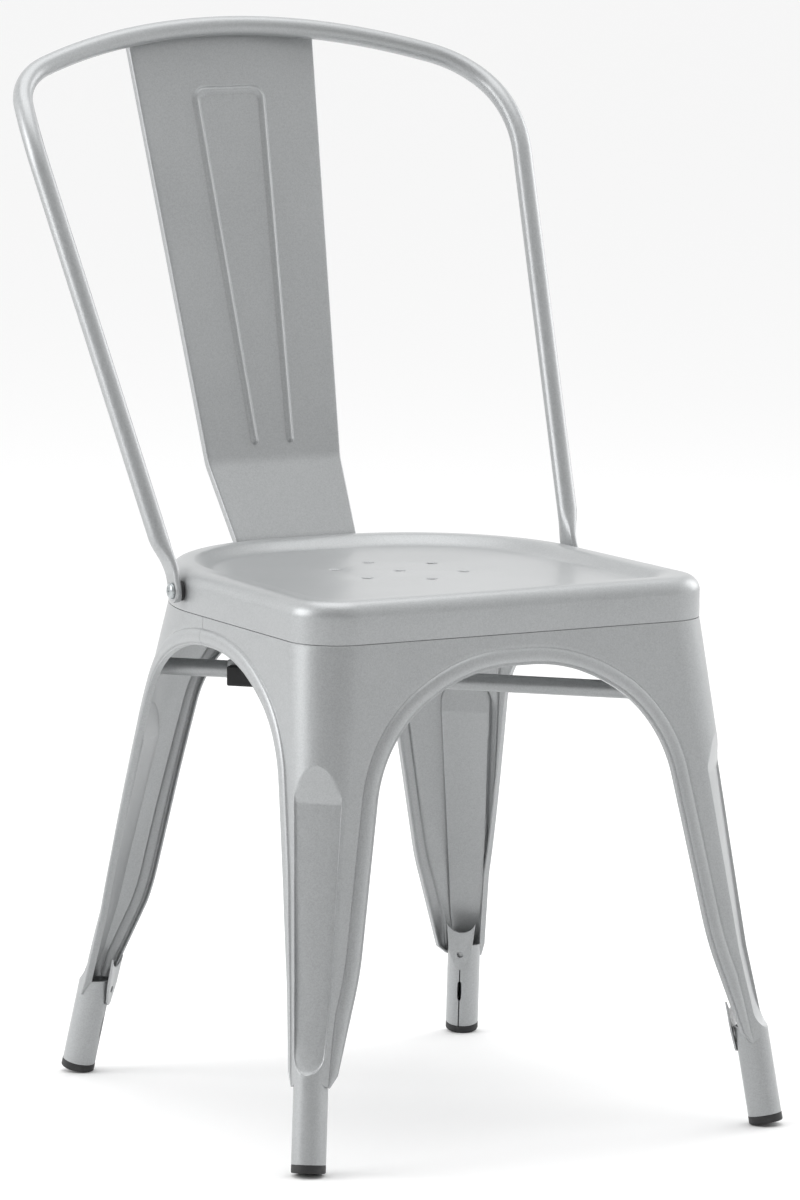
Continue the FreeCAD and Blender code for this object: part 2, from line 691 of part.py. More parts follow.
def hoop_lines():
    """Right leg of the hoop from its pressed end, its corner, and the rail, as joined edges."""
    outward = skirt_normal(1)
    bolt = hoop_bolt(1) + outward * (WASHER_THICK + HOOP_END_THICK / 2 + 2 * FIT)
    lean = (HOOP_LEG_TOP - bolt).normalize()
    press_top = bolt + lean * (HOOP_END_LENGTH + HOOP_PRESS_LENGTH)
    rise = HOOP_RAIL_MIDDLE - HOOP_RAIL_END
    along = vec(1, 0, 0)
    lift = vec(0, rise.y, rise.z)
    half = abs(rise.x)
    height = lift.Length
    rail_radius = (half * half + height * height) / (2 * height)
    angle = math.asin(half / rail_radius)
    rail_dir = (along * -math.cos(angle) + lift.normalize() * math.sin(angle)).normalize()
    corner = biarc(HOOP_LEG_TOP, lean, HOOP_RAIL_END, rail_dir)
    return bolt, lean, press_top, corner


def mirror_point(point):
    return vec(-point.x, point.y, point.z)


def hoop_path():
    """Centre line of the round part of the hoop, from the right leg over to the left one."""
    bolt, lean, press_top, corner = hoop_lines()
    edges = [Part.makeLine(press_top, HOOP_LEG_TOP)] + corner
    rail = Part.Arc(HOOP_RAIL_END, HOOP_RAIL_MIDDLE, mirror_point(HOOP_RAIL_END)).toShape()
    edges = edges + [rail] + [mirrored(edge) for edge in corner]
    edges.append(Part.makeLine(mirror_point(HOOP_LEG_TOP), mirror_point(press_top)))
    return Part.Wire(Part.sortEdges(edges)[0])


def pressed_end(radius, thick, width, grow):
    """Right end of the hoop: round tube pressed to a flat tongue that lies along the skirt."""
    bolt, lean, press_top, corner = hoop_lines()
    outward = skirt_normal(1)
    half_thick = thick / 2
    straight = width / 2 - half_thick

    def ring(centre, along, half_width, half_height, corner_run, top_swell):
        flat = (outward - along * outward.dot(along)).normalize()
        side = along.cross(flat).normalize()
        a = centre + side * half_width + flat * half_height
        b = centre - side * half_width + flat * half_height
        c = centre - side * half_width - flat * half_height
        d = centre + side * half_width - flat * half_height
        left = centre - side * (half_width + corner_run)
        right = centre + side * (half_width + corner_run)
        if top_swell > 0:
            upper = Part.Arc(a, centre + flat * (half_height + top_swell), b).toShape()
            lower = Part.Arc(c, centre - flat * (half_height + top_swell), d).toShape()
        else:
            upper = Part.makeLine(a, b)
            lower = Part.makeLine(c, d)
        return Part.Wire([upper, Part.Arc(b, left, c).toShape(), lower, Part.Arc(d, right, a).toShape()])
    spread = radius * math.sqrt(0.5)
    round_ring = ring(press_top, lean, spread, spread, radius - spread, radius - spread)
    flat_dir = tongue_direction()
    flat_start = bolt + flat_dir * HOOP_END_LENGTH
    flat_ring = ring(flat_start, flat_dir, straight, half_thick, half_thick, 0)
    press = Part.makeLoft([round_ring, flat_ring], True, True)
    tongue = Part.Face(flat_ring).extrude(flat_dir * -(HOOP_END_LENGTH + grow))
    return press, tongue, bolt


def tongue_direction():
    """Direction of the hoop's flat tongue, square to the screw."""
    bolt, lean, press_top, corner = hoop_lines()
    outward = skirt_normal(1)
    return (lean - outward * lean.dot(outward)).normalize()


def back_hoop():
    """Bent steel tube, open inside, whose two ends are pressed flat for the seat's screws."""
    path = hoop_path()
    start = path.OrderedVertexes[0].Point
    along = path.OrderedEdges[0].tangentAt(path.OrderedEdges[0].FirstParameter)
    outer = Part.Wire(Part.makeCircle(HOOP_RADIUS, start, along))
    inner = Part.Wire(Part.makeCircle(HOOP_RADIUS - HOOP_WALL, start, along))
    tube = path.makePipeShell([outer], True, False).cut(path.makePipeShell([inner], True, False))
    press, tongue, bolt = pressed_end(HOOP_RADIUS, HOOP_END_THICK, HOOP_END_WIDTH, HOOP_END_WIDTH / 2)
    outward = skirt_normal(1)
    flat_dir = tongue_direction()
    side = flat_dir.cross(outward).normalize()
    room = 2 * HOOP_END_WIDTH
    tip = Part.makeCylinder(HOOP_END_WIDTH / 2, room, bolt - outward * HOOP_END_WIDTH, outward)
    low = bolt - outward * HOOP_END_WIDTH
    keep = Part.Face(Part.makePolygon([
        low + side * HOOP_END_WIDTH, low - side * HOOP_END_WIDTH,
        low - side * HOOP_END_WIDTH + flat_dir * room, low + side * HOOP_END_WIDTH + flat_dir * room,
        low + side * HOOP_END_WIDTH])).extrude(outward * room)
    tongue = tongue.common(tip.fuse(keep))
    hole = Part.makeCylinder(HOLE_RADIUS, room, bolt - outward * HOOP_END_WIDTH, outward)
    end = press.fuse(tongue).cut(hole)
    return tube.fuse(end).fuse(mirrored(end)).removeSplitter()


def hoop_screw(side):
    """Pan-head screw with a cross recess, through the hoop, the washer and the seat's skirt."""
    outward = skirt_normal(side)
    seat = hoop_bolt(side) + outward * (WASHER_THICK + HOOP_END_THICK + 4 * FIT)
    shank_length = WASHER_THICK + HOOP_END_THICK + SHEET + NUT_THICK + SCREW_TAIL
    shank = Part.makeCylinder(SCREW_RADIUS, shank_length, seat, outward * -1)
    head = Part.makeCylinder(SCREW_HEAD_RADIUS, SCREW_HEAD_HEIGHT, seat, outward)
    rims = [edge for edge in head.Edges if len(edge.Vertexes) == 1]
    far_rim = max(rims, key=lambda edge: edge.CenterOfMass.dot(outward))
    head = head.makeFillet(SCREW_HEAD_HEIGHT * 0.6, [far_rim])
    recess = Part.makeCylinder(SOCKET_RADIUS, SOCKET_DEPTH * 2, seat + outward * (SCREW_HEAD_HEIGHT - SOCKET_DEPTH), outward)
    return shank.fuse(head).cut(recess)


def ring_piece(radius, bore, thick, base, direction):
    """Flat ring."""
    disc = Part.makeCylinder(radius, thick, base, direction)
    return disc.cut(Part.makeCylinder(bore, 3 * thick, base - direction * thick, direction))


def hoop_washer(side):
    """Rubber washer between the hoop's end and the seat's skirt."""
    outward = skirt_normal(side)
    return ring_piece(WASHER_RADIUS, HOLE_RADIUS, WASHER_THICK, hoop_bolt(side) + outward * FIT, outward)


def nut(base, direction):
    """Hexagon nut."""
    across = direction.cross(UP).normalize()
    rise = direction.cross(across)
    radius = NUT_ACROSS / 2 / math.cos(math.radians(30))
    points = []
    for count in range(7):
        turn = math.radians(60 * count)
        points.append(base + across * (radius * math.cos(turn)) + rise * (radius * math.sin(turn)))
    body = Part.Face(Part.makePolygon(points)).extrude(direction * NUT_THICK)
    bore = Part.makeCylinder(SCREW_RADIUS + FIT, 3 * NUT_THICK, base - direction * NUT_THICK, direction)
    return body.cut(bore)


def hoop_nut(side):
    """Nut inside the seat's skirt."""
    outward = skirt_normal(side)
    return nut(hoop_bolt(side) - outward * (SHEET + 3 * FIT), outward * -1)


def splat_profile(front_offset, back_offset):
    """Side view of the splat as a closed face, between two distances behind its front face."""
    foot_y = SEAM_REAR_Y + 2 * FIT
    rise_z = HOOP_RAIL_MIDDLE.z + HOOP_RADIUS
    slope = (SPLAT_TOP_Y - SPLAT_BEND_Y) / (SPLAT_TOP_Z - SPLAT_BEND_Z)
    line = [(SPLAT_TOP_Y + slope * (rise_z - SPLAT_TOP_Z), rise_z), (SPLAT_BEND_Y, SPLAT_BEND_Z), (foot_y, SPLAT_FOOT_Z), (foot_y, SPLAT_LOW_Z)]
    spots = [vec(0, y, z) for y, z in line]

    def shifted(offset):
        moved = []
        for index, spot in enumerate(spots):
            sides = []
            if index > 0:
                along = (spots[index] - spots[index - 1]).normalize()
                sides.append(vec(0, -along.z, along.y))
            if index < len(spots) - 1:
                along = (spots[index + 1] - spots[index]).normalize()
                sides.append(vec(0, -along.z, along.y))
            total = vec(0, 0, 0)
            for side in sides:
                total = total + side
            total.normalize()
            moved.append(spot + total * (offset / total.dot(sides[0])))
        return moved
    front = shifted(front_offset)
    back = shifted(back_offset)
    radii = [0, SPLAT_BEND_ROUND, SPLAT_BEND_ROUND / 2, 0]

    def path(points, grow):
        rows = [(p.y, p.z, radius + grow) for p, radius in zip(points, radii)]
        return filleted_path(rows, lambda q: vec(0, q.x, q.y))
    edges = path(front, 0) + path(back, 0)
    edges.append(Part.makeLine(front[0], back[0]))
    edges.append(Part.makeLine(front[-1], back[-1]))
    return Part.Face(Part.Wire(Part.sortEdges(edges)[0]))


def splat_prism(front_offset, back_offset):
    width = 4 * SPLAT_TOP_HALF
    face = splat_profile(front_offset, back_offset)
    face.translate(vec(-width / 2, 0, 0))
    return face.extrude(vec(width, 0, 0))


def splat_outline(inset):
    """Front view of the splat, tapering to its foot, its top edge tucked along the rail.

    An inset outline has closer sides and runs past the top and bottom.
    """
    top_half = SPLAT_TOP_HALF - inset
    bend_half = SPLAT_BEND_HALF - inset
    low_half = SPLAT_LOW_HALF - inset
    side_z = rail_point(SPLAT_TOP_HALF).z - SPLAT_TUCK + 2 * inset
    crown = vec(0, 0, HOOP_RAIL_MIDDLE.z - SPLAT_TUCK + 2 * inset)
    left = [vec(-top_half, 0, side_z), vec(-bend_half, 0, SPLAT_BEND_Z),
            vec(-low_half, 0, SPLAT_FOOT_Z), vec(-low_half, 0, SPLAT_LOW_Z - 2 * inset)]
    right = [mirror_point(point) for point in reversed(left)]
    edges = [Part.makeLine(start, end) for start, end in zip(left + right, (left + right)[1:])]
    edges.append(Part.Arc(right[-1], crown, left[0]).toShape())
    return Part.Face(Part.Wire(edges)).extrude(vec(0, 2 * HOOP_RAIL_MIDDLE.y, 0))


def rail_point(across):
    """Point on the rail's centre line at a distance from the middle."""
    rise = HOOP_RAIL_MIDDLE - HOOP_RAIL_END
    lift = vec(0, rise.y, rise.z)
    radius = (rise.x * rise.x + lift.Length * lift.Length) / (2 * lift.Length)
    drop = radius - math.sqrt(radius * radius - across * across)
    return HOOP_RAIL_MIDDLE - lift.normalize() * drop + vec(across, 0, 0)


def splat_rib():
    """Raised bead in the shape of an upturned U on the splat's front face."""
    top = vec(0, SPLAT_TOP_Y, SPLAT_TOP_Z)
    bend = vec(0, SPLAT_BEND_Y, SPLAT_BEND_Z)
    down = (bend - top).normalize()
    sunk = vec(0, -down.z, down.y) * (SHEET / 2)

    def place(p):
        return top + sunk + down * p.y + vec(p.x, 0, 0)
    length = (bend - top).Length
    low = length - RIB_LOW_UP
    points = [(-RIB_LOW_HALF, low, 0), (-RIB_TOP_HALF, RIB_TOP_DOWN, RIB_ROUND),
              (RIB_TOP_HALF, RIB_TOP_DOWN, RIB_ROUND), (RIB_LOW_HALF, low, 0)]
    path = Part.Wire(Part.sortEdges(filleted_path(points, place))[0])
    start = path.OrderedVertexes[0].Point
    edge = path.OrderedEdges[0]
    ring = Part.Wire(Part.makeCircle(RIB_RADIUS, start, edge.tangentAt(edge.FirstParameter)))
    rib = path.makePipeShell([ring], True, False)
    for side in (-1, 1):
        end = place(vec(side * RIB_LOW_HALF, low, 0))
        rib = rib.fuse(Part.makeSphere(RIB_RADIUS, end))
    back = splat_prism(SHEET * 0.8, 4 * RIB_RADIUS)
    return rib.cut(back)


def back_splat():
    """Pressed back plate with side edges turned back, a bend above the seat and a raised bead."""
    sheet = splat_prism(0, SHEET).common(splat_outline(0))
    sides = splat_prism(0, SPLAT_FLANGE).common(splat_outline(0).cut(splat_outline(SHEET)))
    splat = sheet.fuse(sides).fuse(splat_rib())
    for side in (-1, 1):
        start = vec(side * SPLAT_SCREW_X, SEAM_REAR_Y - SHEET, SPLAT_SCREW_Z)
        splat = splat.cut(Part.makeCylinder(HOLE_RADIUS, 6 * SHEET, start, vec(0, 1, 0)))
    return splat


def splat_screws():
    """Two pan-head screws that hold the splat's foot to the seat's rear skirt."""
    screws = []
    for side in (-1, 1):
        seat = vec(side * SPLAT_SCREW_X, SEAM_REAR_Y + SHEET + 3 * FIT, SPLAT_SCREW_Z)
        head = Part.makeCylinder(SCREW_HEAD_RADIUS, SCREW_HEAD_HEIGHT, seat, vec(0, 1, 0))
        shank = Part.makeCylinder(SCREW_RADIUS, 2 * SHEET + NUT_THICK + SCREW_TAIL, seat, vec(0, -1, 0))
        screws.append(head.fuse(shank))
    return Part.makeCompound(screws)


def splat_nuts():
    """Two nuts inside the seat's rear skirt."""
    base_y = SEAM_REAR_Y - SHEET - 3 * FIT
    return Part.makeCompound([nut(vec(side * SPLAT_SCREW_X, base_y, SPLAT_SCREW_Z), vec(0, -1, 0)) for side in (-1, 1)])


def brace_direction(index):
    """Level direction from the middle of the frame to a leg's corner."""
    corner = corner_apex(index, BRACE_Z)
    opposite = corner_apex((index + 2) % 4, BRACE_Z)
    return (corner - opposite).normalize()


def brace_middle():
    """Where the two diagonals of the frame cross."""
    front_left = corner_apex(0, BRACE_Z)
    rear_right = corner_apex(2, BRACE_Z)
    along = (rear_right - front_left).normalize()
    return front_left + along * (-front_left.x / along.x)


def brace_tube(radius, index, reach_back):
    """Round bar from the middle of the frame out past a leg's corner."""
    along = brace_direction(index)
    start = brace_middle() - along * reach_back
    return Part.makeCylinder(radius, 2 * FLOOR_FRONT_HALF + reach_back, start, along)


def through_brace():
    """Tube from the rear left leg to the front right leg."""
    reach = 2 * FLOOR_FRONT_HALF
    room = underframe_block(SHEET + FIT, SHEET + FIT)
    tube = brace_tube(BRACE_RADIUS, 3, reach).cut(brace_tube(BRACE_RADIUS - BRACE_WALL, 3, reach))
    return tube.common(room)


def half_brace(index):
    """Tube from the through brace to a leg, coped round it."""
    room = underframe_block(SHEET + FIT, SHEET + FIT)
    tube = brace_tube(BRACE_RADIUS, index, 0).cut(brace_tube(BRACE_RADIUS - BRACE_WALL, index, 0))
    tube = tube.cut(brace_tube(BRACE_RADIUS + FIT, 3, 2 * FLOOR_FRONT_HALF))
    return tube.common(room)


def pad_spot(index, along_shift, out, up):
    """Point beside a rear brace arm, on the arm's outer side."""
    along = brace_direction(index)
    side = UP.cross(along)
    if side.y > 0:
        side = side * -1
    return brace_middle() + along * (PAD_FROM_MIDDLE + along_shift) + side * out + vec(0, 0, up)


def pad_block(index, length, low_out, high_out, low_up, high_up):
    """Block beside a rear brace arm."""
    half = length / 2
    corners = [pad_spot(index, -half, low_out, low_up), pad_spot(index, half, low_out, low_up),
               pad_spot(index, half, high_out, low_up), pad_spot(index, -half, high_out, low_up)]
    return Part.Face(Part.makePolygon(corners + [corners[0]])).extrude(vec(0, 0, high_up - low_up))


def stacking_pad(index):
    """Rubber block that the chair stacked below bears on."""
    out = BRACE_RADIUS + SHEET + 2 * FIT
    low = -BRACE_RADIUS - PAD_SAG
    block = pad_block(index, PAD_LENGTH, out, out + PAD_THICK, low, low + PAD_HEIGHT)
    edges = [edge for edge in block.Edges]
    return block.makeFillet(PAD_ROUND, edges)


def pad_bracket(index):
    """Bent strap that hooks over the brace and carries the rubber block."""
    top = BRACE_RADIUS + FIT
    low = -BRACE_RADIUS - PAD_SAG
    out = BRACE_RADIUS + FIT
    over = pad_block(index, BRACKET_LENGTH, -out - SHEET, out + SHEET, top, top + SHEET)
    front = pad_block(index, BRACKET_LENGTH, out, out + SHEET, low, top + SHEET)
    back = pad_block(index, BRACKET_LENGTH, -out - SHEET, -out, -BRACE_RADIUS, top + SHEET)
    return over.fuse(front).fuse(back).removeSplitter()


def all_parts():
    """Every piece by the name a person would use."""
    parts = {}
    front_left = leg(0)
    rear_left = leg(3)
    parts["leg_front_left"] = front_left
    parts["leg_front_right"] = mirrored(front_left)
    parts["leg_rear_left"] = rear_left
    parts["leg_rear_right"] = mirrored(rear_left)
    for name, index in (("front_left", 0), ("rear_left", 3)):
        twin = name.replace("left", "right")
        gusset = leg_gusset(index)
        cap = foot_cap(index)
        parts["leg_gusset_" + name] = gusset
        parts["leg_gusset_" + twin] = mirrored(gusset)
        parts["foot_cap_" + name] = cap
        parts["foot_cap_" + twin] = mirrored(cap)
    parts["seat_pan"] = seat_pan()
    parts["brace_through"] = through_brace()
    parts["brace_front_left"] = half_brace(0)
    parts["brace_rear_right"] = half_brace(2)
    for name, index in (("left", 3), ("right", 2)):
        parts["stacking_pad_" + name] = stacking_pad(index)
        parts["pad_bracket_" + name] = pad_bracket(index)
    parts["back_hoop"] = back_hoop()
    for name, side in (("left", -1), ("right", 1)):
        parts["hoop_screw_" + name] = hoop_screw(side)
        parts["hoop_washer_" + name] = hoop_washer(side)
        parts["hoop_nut_" + name] = hoop_nut(side)
    parts["back_splat"] = back_splat()
    parts["splat_screws"] = splat_screws()
    parts["splat_nuts"] = splat_nuts()
    return parts


os.makedirs("parts", exist_ok=True)
for name, shape in all_parts().items():
    shape.translate(vec(0, FRAME_SHIFT_Y, 0))
    shape.exportStep("parts/" + name + ".step")
    print(name, len(shape.Solids), "solid", round(shape.Volume / 1000, 2), "cm3", shape.isValid())
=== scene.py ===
import math

import bpy
import bmesh
import numpy as np
from mathutils import Matrix, Vector


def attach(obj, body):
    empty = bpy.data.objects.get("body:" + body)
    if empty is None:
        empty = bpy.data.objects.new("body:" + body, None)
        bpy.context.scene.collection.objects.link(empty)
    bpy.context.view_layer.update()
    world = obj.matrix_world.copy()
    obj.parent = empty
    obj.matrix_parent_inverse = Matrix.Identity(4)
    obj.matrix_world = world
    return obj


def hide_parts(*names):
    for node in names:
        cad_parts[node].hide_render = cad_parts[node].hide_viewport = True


# Silver bistro chair of pressed sheet steel and bent tube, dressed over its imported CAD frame.
# X runs across the seat, Y towards the back, Z up. The seat's middle is the plan's own origin,
# and in_frame moves it by SHIFT_Y to the middle of the chair's footprint.

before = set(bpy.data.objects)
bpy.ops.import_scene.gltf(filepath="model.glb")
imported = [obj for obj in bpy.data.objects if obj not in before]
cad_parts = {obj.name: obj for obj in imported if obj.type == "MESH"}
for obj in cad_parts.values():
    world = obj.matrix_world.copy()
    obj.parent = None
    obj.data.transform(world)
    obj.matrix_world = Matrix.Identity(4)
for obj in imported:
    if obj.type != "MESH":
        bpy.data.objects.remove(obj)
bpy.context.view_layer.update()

# Metallic powder coat
# Polyester powder with aluminium flake, sprayed and baked on the steel. It gives the eye a light
# grey satin metal with a faint sparkle and the slight orange peel of baked powder. The real flake
# is some hundredths of a millimetre, so it's drawn coarser here to show at all.

MM = 0.001


def from_hex(text):
    """Linear colour from an sRGB hex value."""
    channels = [int(text[place:place + 2], 16) / 255 for place in (0, 2, 4)]
    return [c / 12.92 if c <= 0.04045 else ((c + 0.055) / 1.055) ** 2.4 for c in channels] + [1.0]


def add_node(tree, kind, settings=None, links=None):
    """One shader node with its settings, its socket values and its incoming links."""
    node = tree.nodes.new(kind)
    for name, value in (settings or {}).items():
        if isinstance(name, int) or name in node.inputs:
            node.inputs[name].default_value = value
        else:
            setattr(node, name, value)
    for name, source in (links or {}).items():
        tree.links.new(source, node.inputs[name])
    return node


def new_finish(name, settings):
    """Empty material with a principled shader; gives the material, its tree and the shader."""
    material = bpy.data.materials.new(name)
    material.use_nodes = True
    tree = material.node_tree
    tree.nodes.clear()
    shader = add_node(tree, "ShaderNodeBsdfPrincipled", settings)
    add_node(tree, "ShaderNodeOutputMaterial", links={"Surface": shader.outputs["BSDF"]})
    return material, tree, shader


FLAKE_MM = 0.9
PEEL_MM = 2.6
PEEL_HEIGHT = 0.15
CLOUD_MM = 90.0
SILVER_DARK = "999B9C"
SILVER_LIGHT = "B3B5B6"


def powder_coat(name, dark, light):
    """Baked silver powder: flakes that catch light one by one, over a soft cloudy grey."""
    material, tree, shader = new_finish(name, {
        "Metallic": 0.62, "Roughness": 0.4, "Coat Weight": 0.25, "Coat Roughness": 0.22})
    place = add_node(tree, "ShaderNodeTexCoord").outputs["Object"]
    flake = add_node(tree, "ShaderNodeTexVoronoi", {"Scale": 1 / (FLAKE_MM * MM)}, {"Vector": place})
    cloud = add_node(tree, "ShaderNodeTexNoise", {"Scale": 1 / (CLOUD_MM * MM), "Detail": 3.0},
                     {"Vector": place})
    grain = add_node(tree, "ShaderNodeMath", {"operation": "MULTIPLY_ADD", 1: 0.6, 2: 0.0},
                     {0: flake.outputs["Color"]})
    amount = add_node(tree, "ShaderNodeMath", {"operation": "MULTIPLY_ADD", 1: 0.4},
                      {0: cloud.outputs["Fac"], 2: grain.outputs[0]})
    tint = add_node(tree, "ShaderNodeMix", {"data_type": "RGBA"}, {0: amount.outputs[0]})
    tint.inputs[6].default_value = from_hex(dark)
    tint.inputs[7].default_value = from_hex(light)
    tree.links.new(tint.outputs[2], shader.inputs["Base Color"])
    rough = add_node(tree, "ShaderNodeMapRange", {"To Min": 0.34, "To Max": 0.5},
                     {"Value": flake.outputs["Color"]})
    tree.links.new(rough.outputs[0], shader.inputs["Roughness"])
    peel = add_node(tree, "ShaderNodeTexNoise", {"Scale": 1 / (PEEL_MM * MM), "Detail": 1.0},
                    {"Vector": place})
    relief = add_node(tree, "ShaderNodeMath", {"operation": "MULTIPLY_ADD", 1: 0.35},
                      {0: flake.outputs["Color"], 2: peel.outputs["Fac"]})
    bump = add_node(tree, "ShaderNodeBump", {"Strength": 0.12, "Distance": PEEL_HEIGHT * MM},
                    {"Height": relief.outputs[0]})
    tree.links.new(bump.outputs[0], shader.inputs["Normal"])
    return material


silver = powder_coat("silver_powder_coat", SILVER_DARK, SILVER_LIGHT)


def dress(piece, material):
    """Puts one finish on a piece."""
    piece.data.materials.clear()
    piece.data.materials.append(material)


# Plan of the pressed underframe
# The four legs are one splayed box of sheet steel in plan, so the legs and the seat's skirt
# share these sizes. Each level is (height, front half, rear half, front, rear, front corner
# radius, rear corner radius), in millimetres about the seat's middle.

SHEET = 1.5
SEAM_Z = 401.5
WAIST_Z = 140.0
TUBE_TOP_Z = 78.0
TUBE_RADIUS = 13.5
SHIFT_Y = -32.722
SEAM_LEVEL = (SEAM_Z, 183.5, 176.0, -188.5, 168.0, 40.0, 150.0)
WAIST_LEVEL = (WAIST_Z, 207.0, 179.5, -223.5, 187.5, 24.0, 28.0)
FLOOR_LEVEL = (0.0, 222.4, 194.5, -244.9, 218.0, 13.5, 13.5)
LAP_Y = -3.0


def plan_at(height):
    """Plan sizes at a height; corner radii reach the foot tube's own at its top."""
    high, low = (SEAM_LEVEL, WAIST_LEVEL) if height >= WAIST_Z else (WAIST_LEVEL, FLOOR_LEVEL)
    share = (high[0] - height) / (high[0] - low[0])
    sizes = [a + share * (b - a) for a, b in zip(high, low)]
    if height < WAIST_Z:
        share = min((WAIST_Z - height) / (WAIST_Z - TUBE_TOP_Z), 1.0)
        sizes[5] = WAIST_LEVEL[5] + share * (TUBE_RADIUS - WAIST_LEVEL[5])
        sizes[6] = WAIST_LEVEL[6] + share * (TUBE_RADIUS - WAIST_LEVEL[6])
    return sizes


def in_frame(points):
    """Plan millimetres to the frame's metres."""
    points = np.asarray(points, float).reshape(-1, 3)
    return (points + np.array([0.0, SHIFT_Y, 0.0])) * MM


def new_piece(name, points, faces, material):
    """Mesh object from plan millimetres, its faces turned outwards and shaded smooth."""
    mesh = bpy.data.meshes.new(name)
    mesh.from_pydata([tuple(p) for p in in_frame(points)], [], faces)
    shape = bmesh.new()
    shape.from_mesh(mesh)
    bmesh.ops.remove_doubles(shape, verts=shape.verts, dist=0.01 * MM)
    bmesh.ops.recalc_face_normals(shape, faces=shape.faces)
    shape.to_mesh(mesh)
    shape.free()
    for face in mesh.polygons:
        face.use_smooth = True
    piece = bpy.data.objects.new(name, mesh)
    bpy.context.scene.collection.objects.link(piece)
    dress(piece, material)
    return piece


def grid_faces(rows, columns, closed=False):
    """Quads of a grid of points listed row by row."""
    faces = []
    for row in range(rows - 1):
        for column in range(columns - (0 if closed else 1)):
            after = (column + 1) % columns
            low = row * columns
            high = low + columns
            faces.append((low + column, low + after, high + after, high + column))
    return faces


# Legs
# Each leg is one pressing of 1.5 mm steel: a corner panel with a flute down its corner, half an
# arch on either side with a rolled bead and a turned-in flange, and a foot rolled into a tube.
# The four meet at butt joints in the middle of the front and back and lap at the sides.

# Corners of half an arch as (distance from the middle, height, round), from the crown down.
FRONT_ARCH = [(0, 377, 0), (45, 377, 138), (125, 331, 110), (158.5, 150, 260), (187, 66, 0)]
REAR_ARCH = [(0, 377, 0), (26, 377, 82), (86, 331, 75), (124.5, 150, 200), (158, 66, 0)]
SIDE_ARCH = [(0, 379, 0), (48, 379, 150), (124, 331, 100), (167, 170, 300), (195, 66, 0)]
SIDE_ARCH_Y = -14.0
FLANGE_DEPTH = 5.0
BEAD_START = 2.0
BEAD_WIDTH = 11.0
BEAD_HEIGHT = 2.2
FLUTE_DEPTH = 7.8
FLUTE_TOP_Z = 311.0
FLUTE_RAMP = 30.0
FLUTE_RUNOUT = 32.0
RUNOUT_POWER = 2.4
FLUTE_TOP_HALF = 21.0
FLUTE_LOW_HALF = 14.2
SPLIT_Z = 322.0
ROUND_STEPS = 40


def arch_curve(points, count=900):
    """Half outline of an arch, crown first, as many even points, with its normals into the metal."""
    spots = [np.array(p[:2], float) for p in points]
    line = [spots[0]]
    for index in range(1, len(points) - 1):
        corner, radius = spots[index], points[index][2]
        back = spots[index - 1] - corner
        back /= np.linalg.norm(back)
        ahead = spots[index + 1] - corner
        ahead /= np.linalg.norm(ahead)
        half = math.acos(np.clip(back @ ahead, -1, 1)) / 2
        middle = back + ahead
        middle /= np.linalg.norm(middle)
        centre = corner + middle * radius / math.sin(half)
        start = corner + back * radius / math.tan(half) - centre
        end = corner + ahead * radius / math.tan(half) - centre
        turn = math.atan2(start[0] * end[1] - start[1] * end[0], start @ end)
        for step in range(ROUND_STEPS + 1):
            angle = turn * step / ROUND_STEPS
            c, s = math.cos(angle), math.sin(angle)
            line.append(centre + np.array([c * start[0] - s * start[1], s * start[0] + c * start[1]]))
    line.append(spots[-1])
    line = np.array(line)
    length = np.r_[0, np.cumsum(np.linalg.norm(np.diff(line, axis=0), axis=1))]
    keep = np.r_[True, np.diff(length) > 1e-6]
    even = np.linspace(0, length[-1], count)
    curve = np.stack([np.interp(even, length[keep], line[keep, axis]) for axis in (0, 1)], 1)
    along = np.gradient(curve, axis=0)
    along /= np.linalg.norm(along, axis=1)[:, None]
    normal = np.stack([-along[:, 1], along[:, 0]], 1)
    return curve, normal


class LegPlan:
    """Right-hand leg's skin: a height and a distance round from the corner's middle give a point."""

    def __init__(self, rear):
        self.rear = rear

    def corner(self, height):
        level, front_half, rear_half, front_y, rear_y, front_radius, rear_radius = plan_at(height)
        side = np.array([rear_half - front_half, rear_y - front_y])
        side /= np.linalg.norm(side)
        side_normal = np.array([side[1], -side[0]])
        if self.rear:
            spot, radius, end_normal = np.array([rear_half, rear_y]), rear_radius, np.array([0.0, 1.0])
        else:
            spot, radius, end_normal = np.array([front_half, front_y]), front_radius, np.array([0.0, -1.0])
        start = math.atan2(end_normal[1], end_normal[0])
        turn = math.atan2(side_normal[1], side_normal[0]) - start
        middle = start + turn / 2
        outward = np.array([math.cos(middle), math.sin(middle)])
        centre = spot - outward * radius / math.cos(turn / 2)
        return centre, radius, start, turn, outward, side

    def point(self, round_from_apex, height, sink=0.0):
        """Point on the outer face; negative distances run to the end wall, positive to the side."""
        centre, radius, start, turn, outward, side = self.corner(height)
        reach = radius * abs(turn) / 2
        way = round_from_apex
        over = max(abs(way) - reach, 0.0)
        angle = start + turn * (min(max(way, -reach), reach) / reach + 1) / 2
        normal = np.array([math.cos(angle), math.sin(angle)])
        spot = centre + normal * radius
        if way < 0:
            spot = spot - np.array([1.0, 0.0]) * over
        else:
            spot = spot + side * over * (-1 if self.rear else 1)
        return np.array([*(spot - normal * sink), height]), np.array([*normal, 0.0]), outward

    def unrolled(self, across, height):
        """Distance along the end wall and on round its corner for a distance from the middle."""
        centre, radius = self.corner(height)[:2]
        if across <= centre[0]:
            return across
        return centre[0] + radius * math.asin(min((across - centre[0]) / radius, 1.0))

    def way_at(self, side_wall, along, height):
        """Distance round from the apex for an unrolled distance on one of the two walls."""
        centre, radius, start, turn, outward, side = self.corner(height)
        reach = radius * abs(turn) / 2
        if not side_wall:
            return along - centre[0] - reach
        tangent = centre + np.array([side[1], -side[0]]) * radius
        return reach + (along - tangent[1]) / side[1] * (-1 if self.rear else 1)


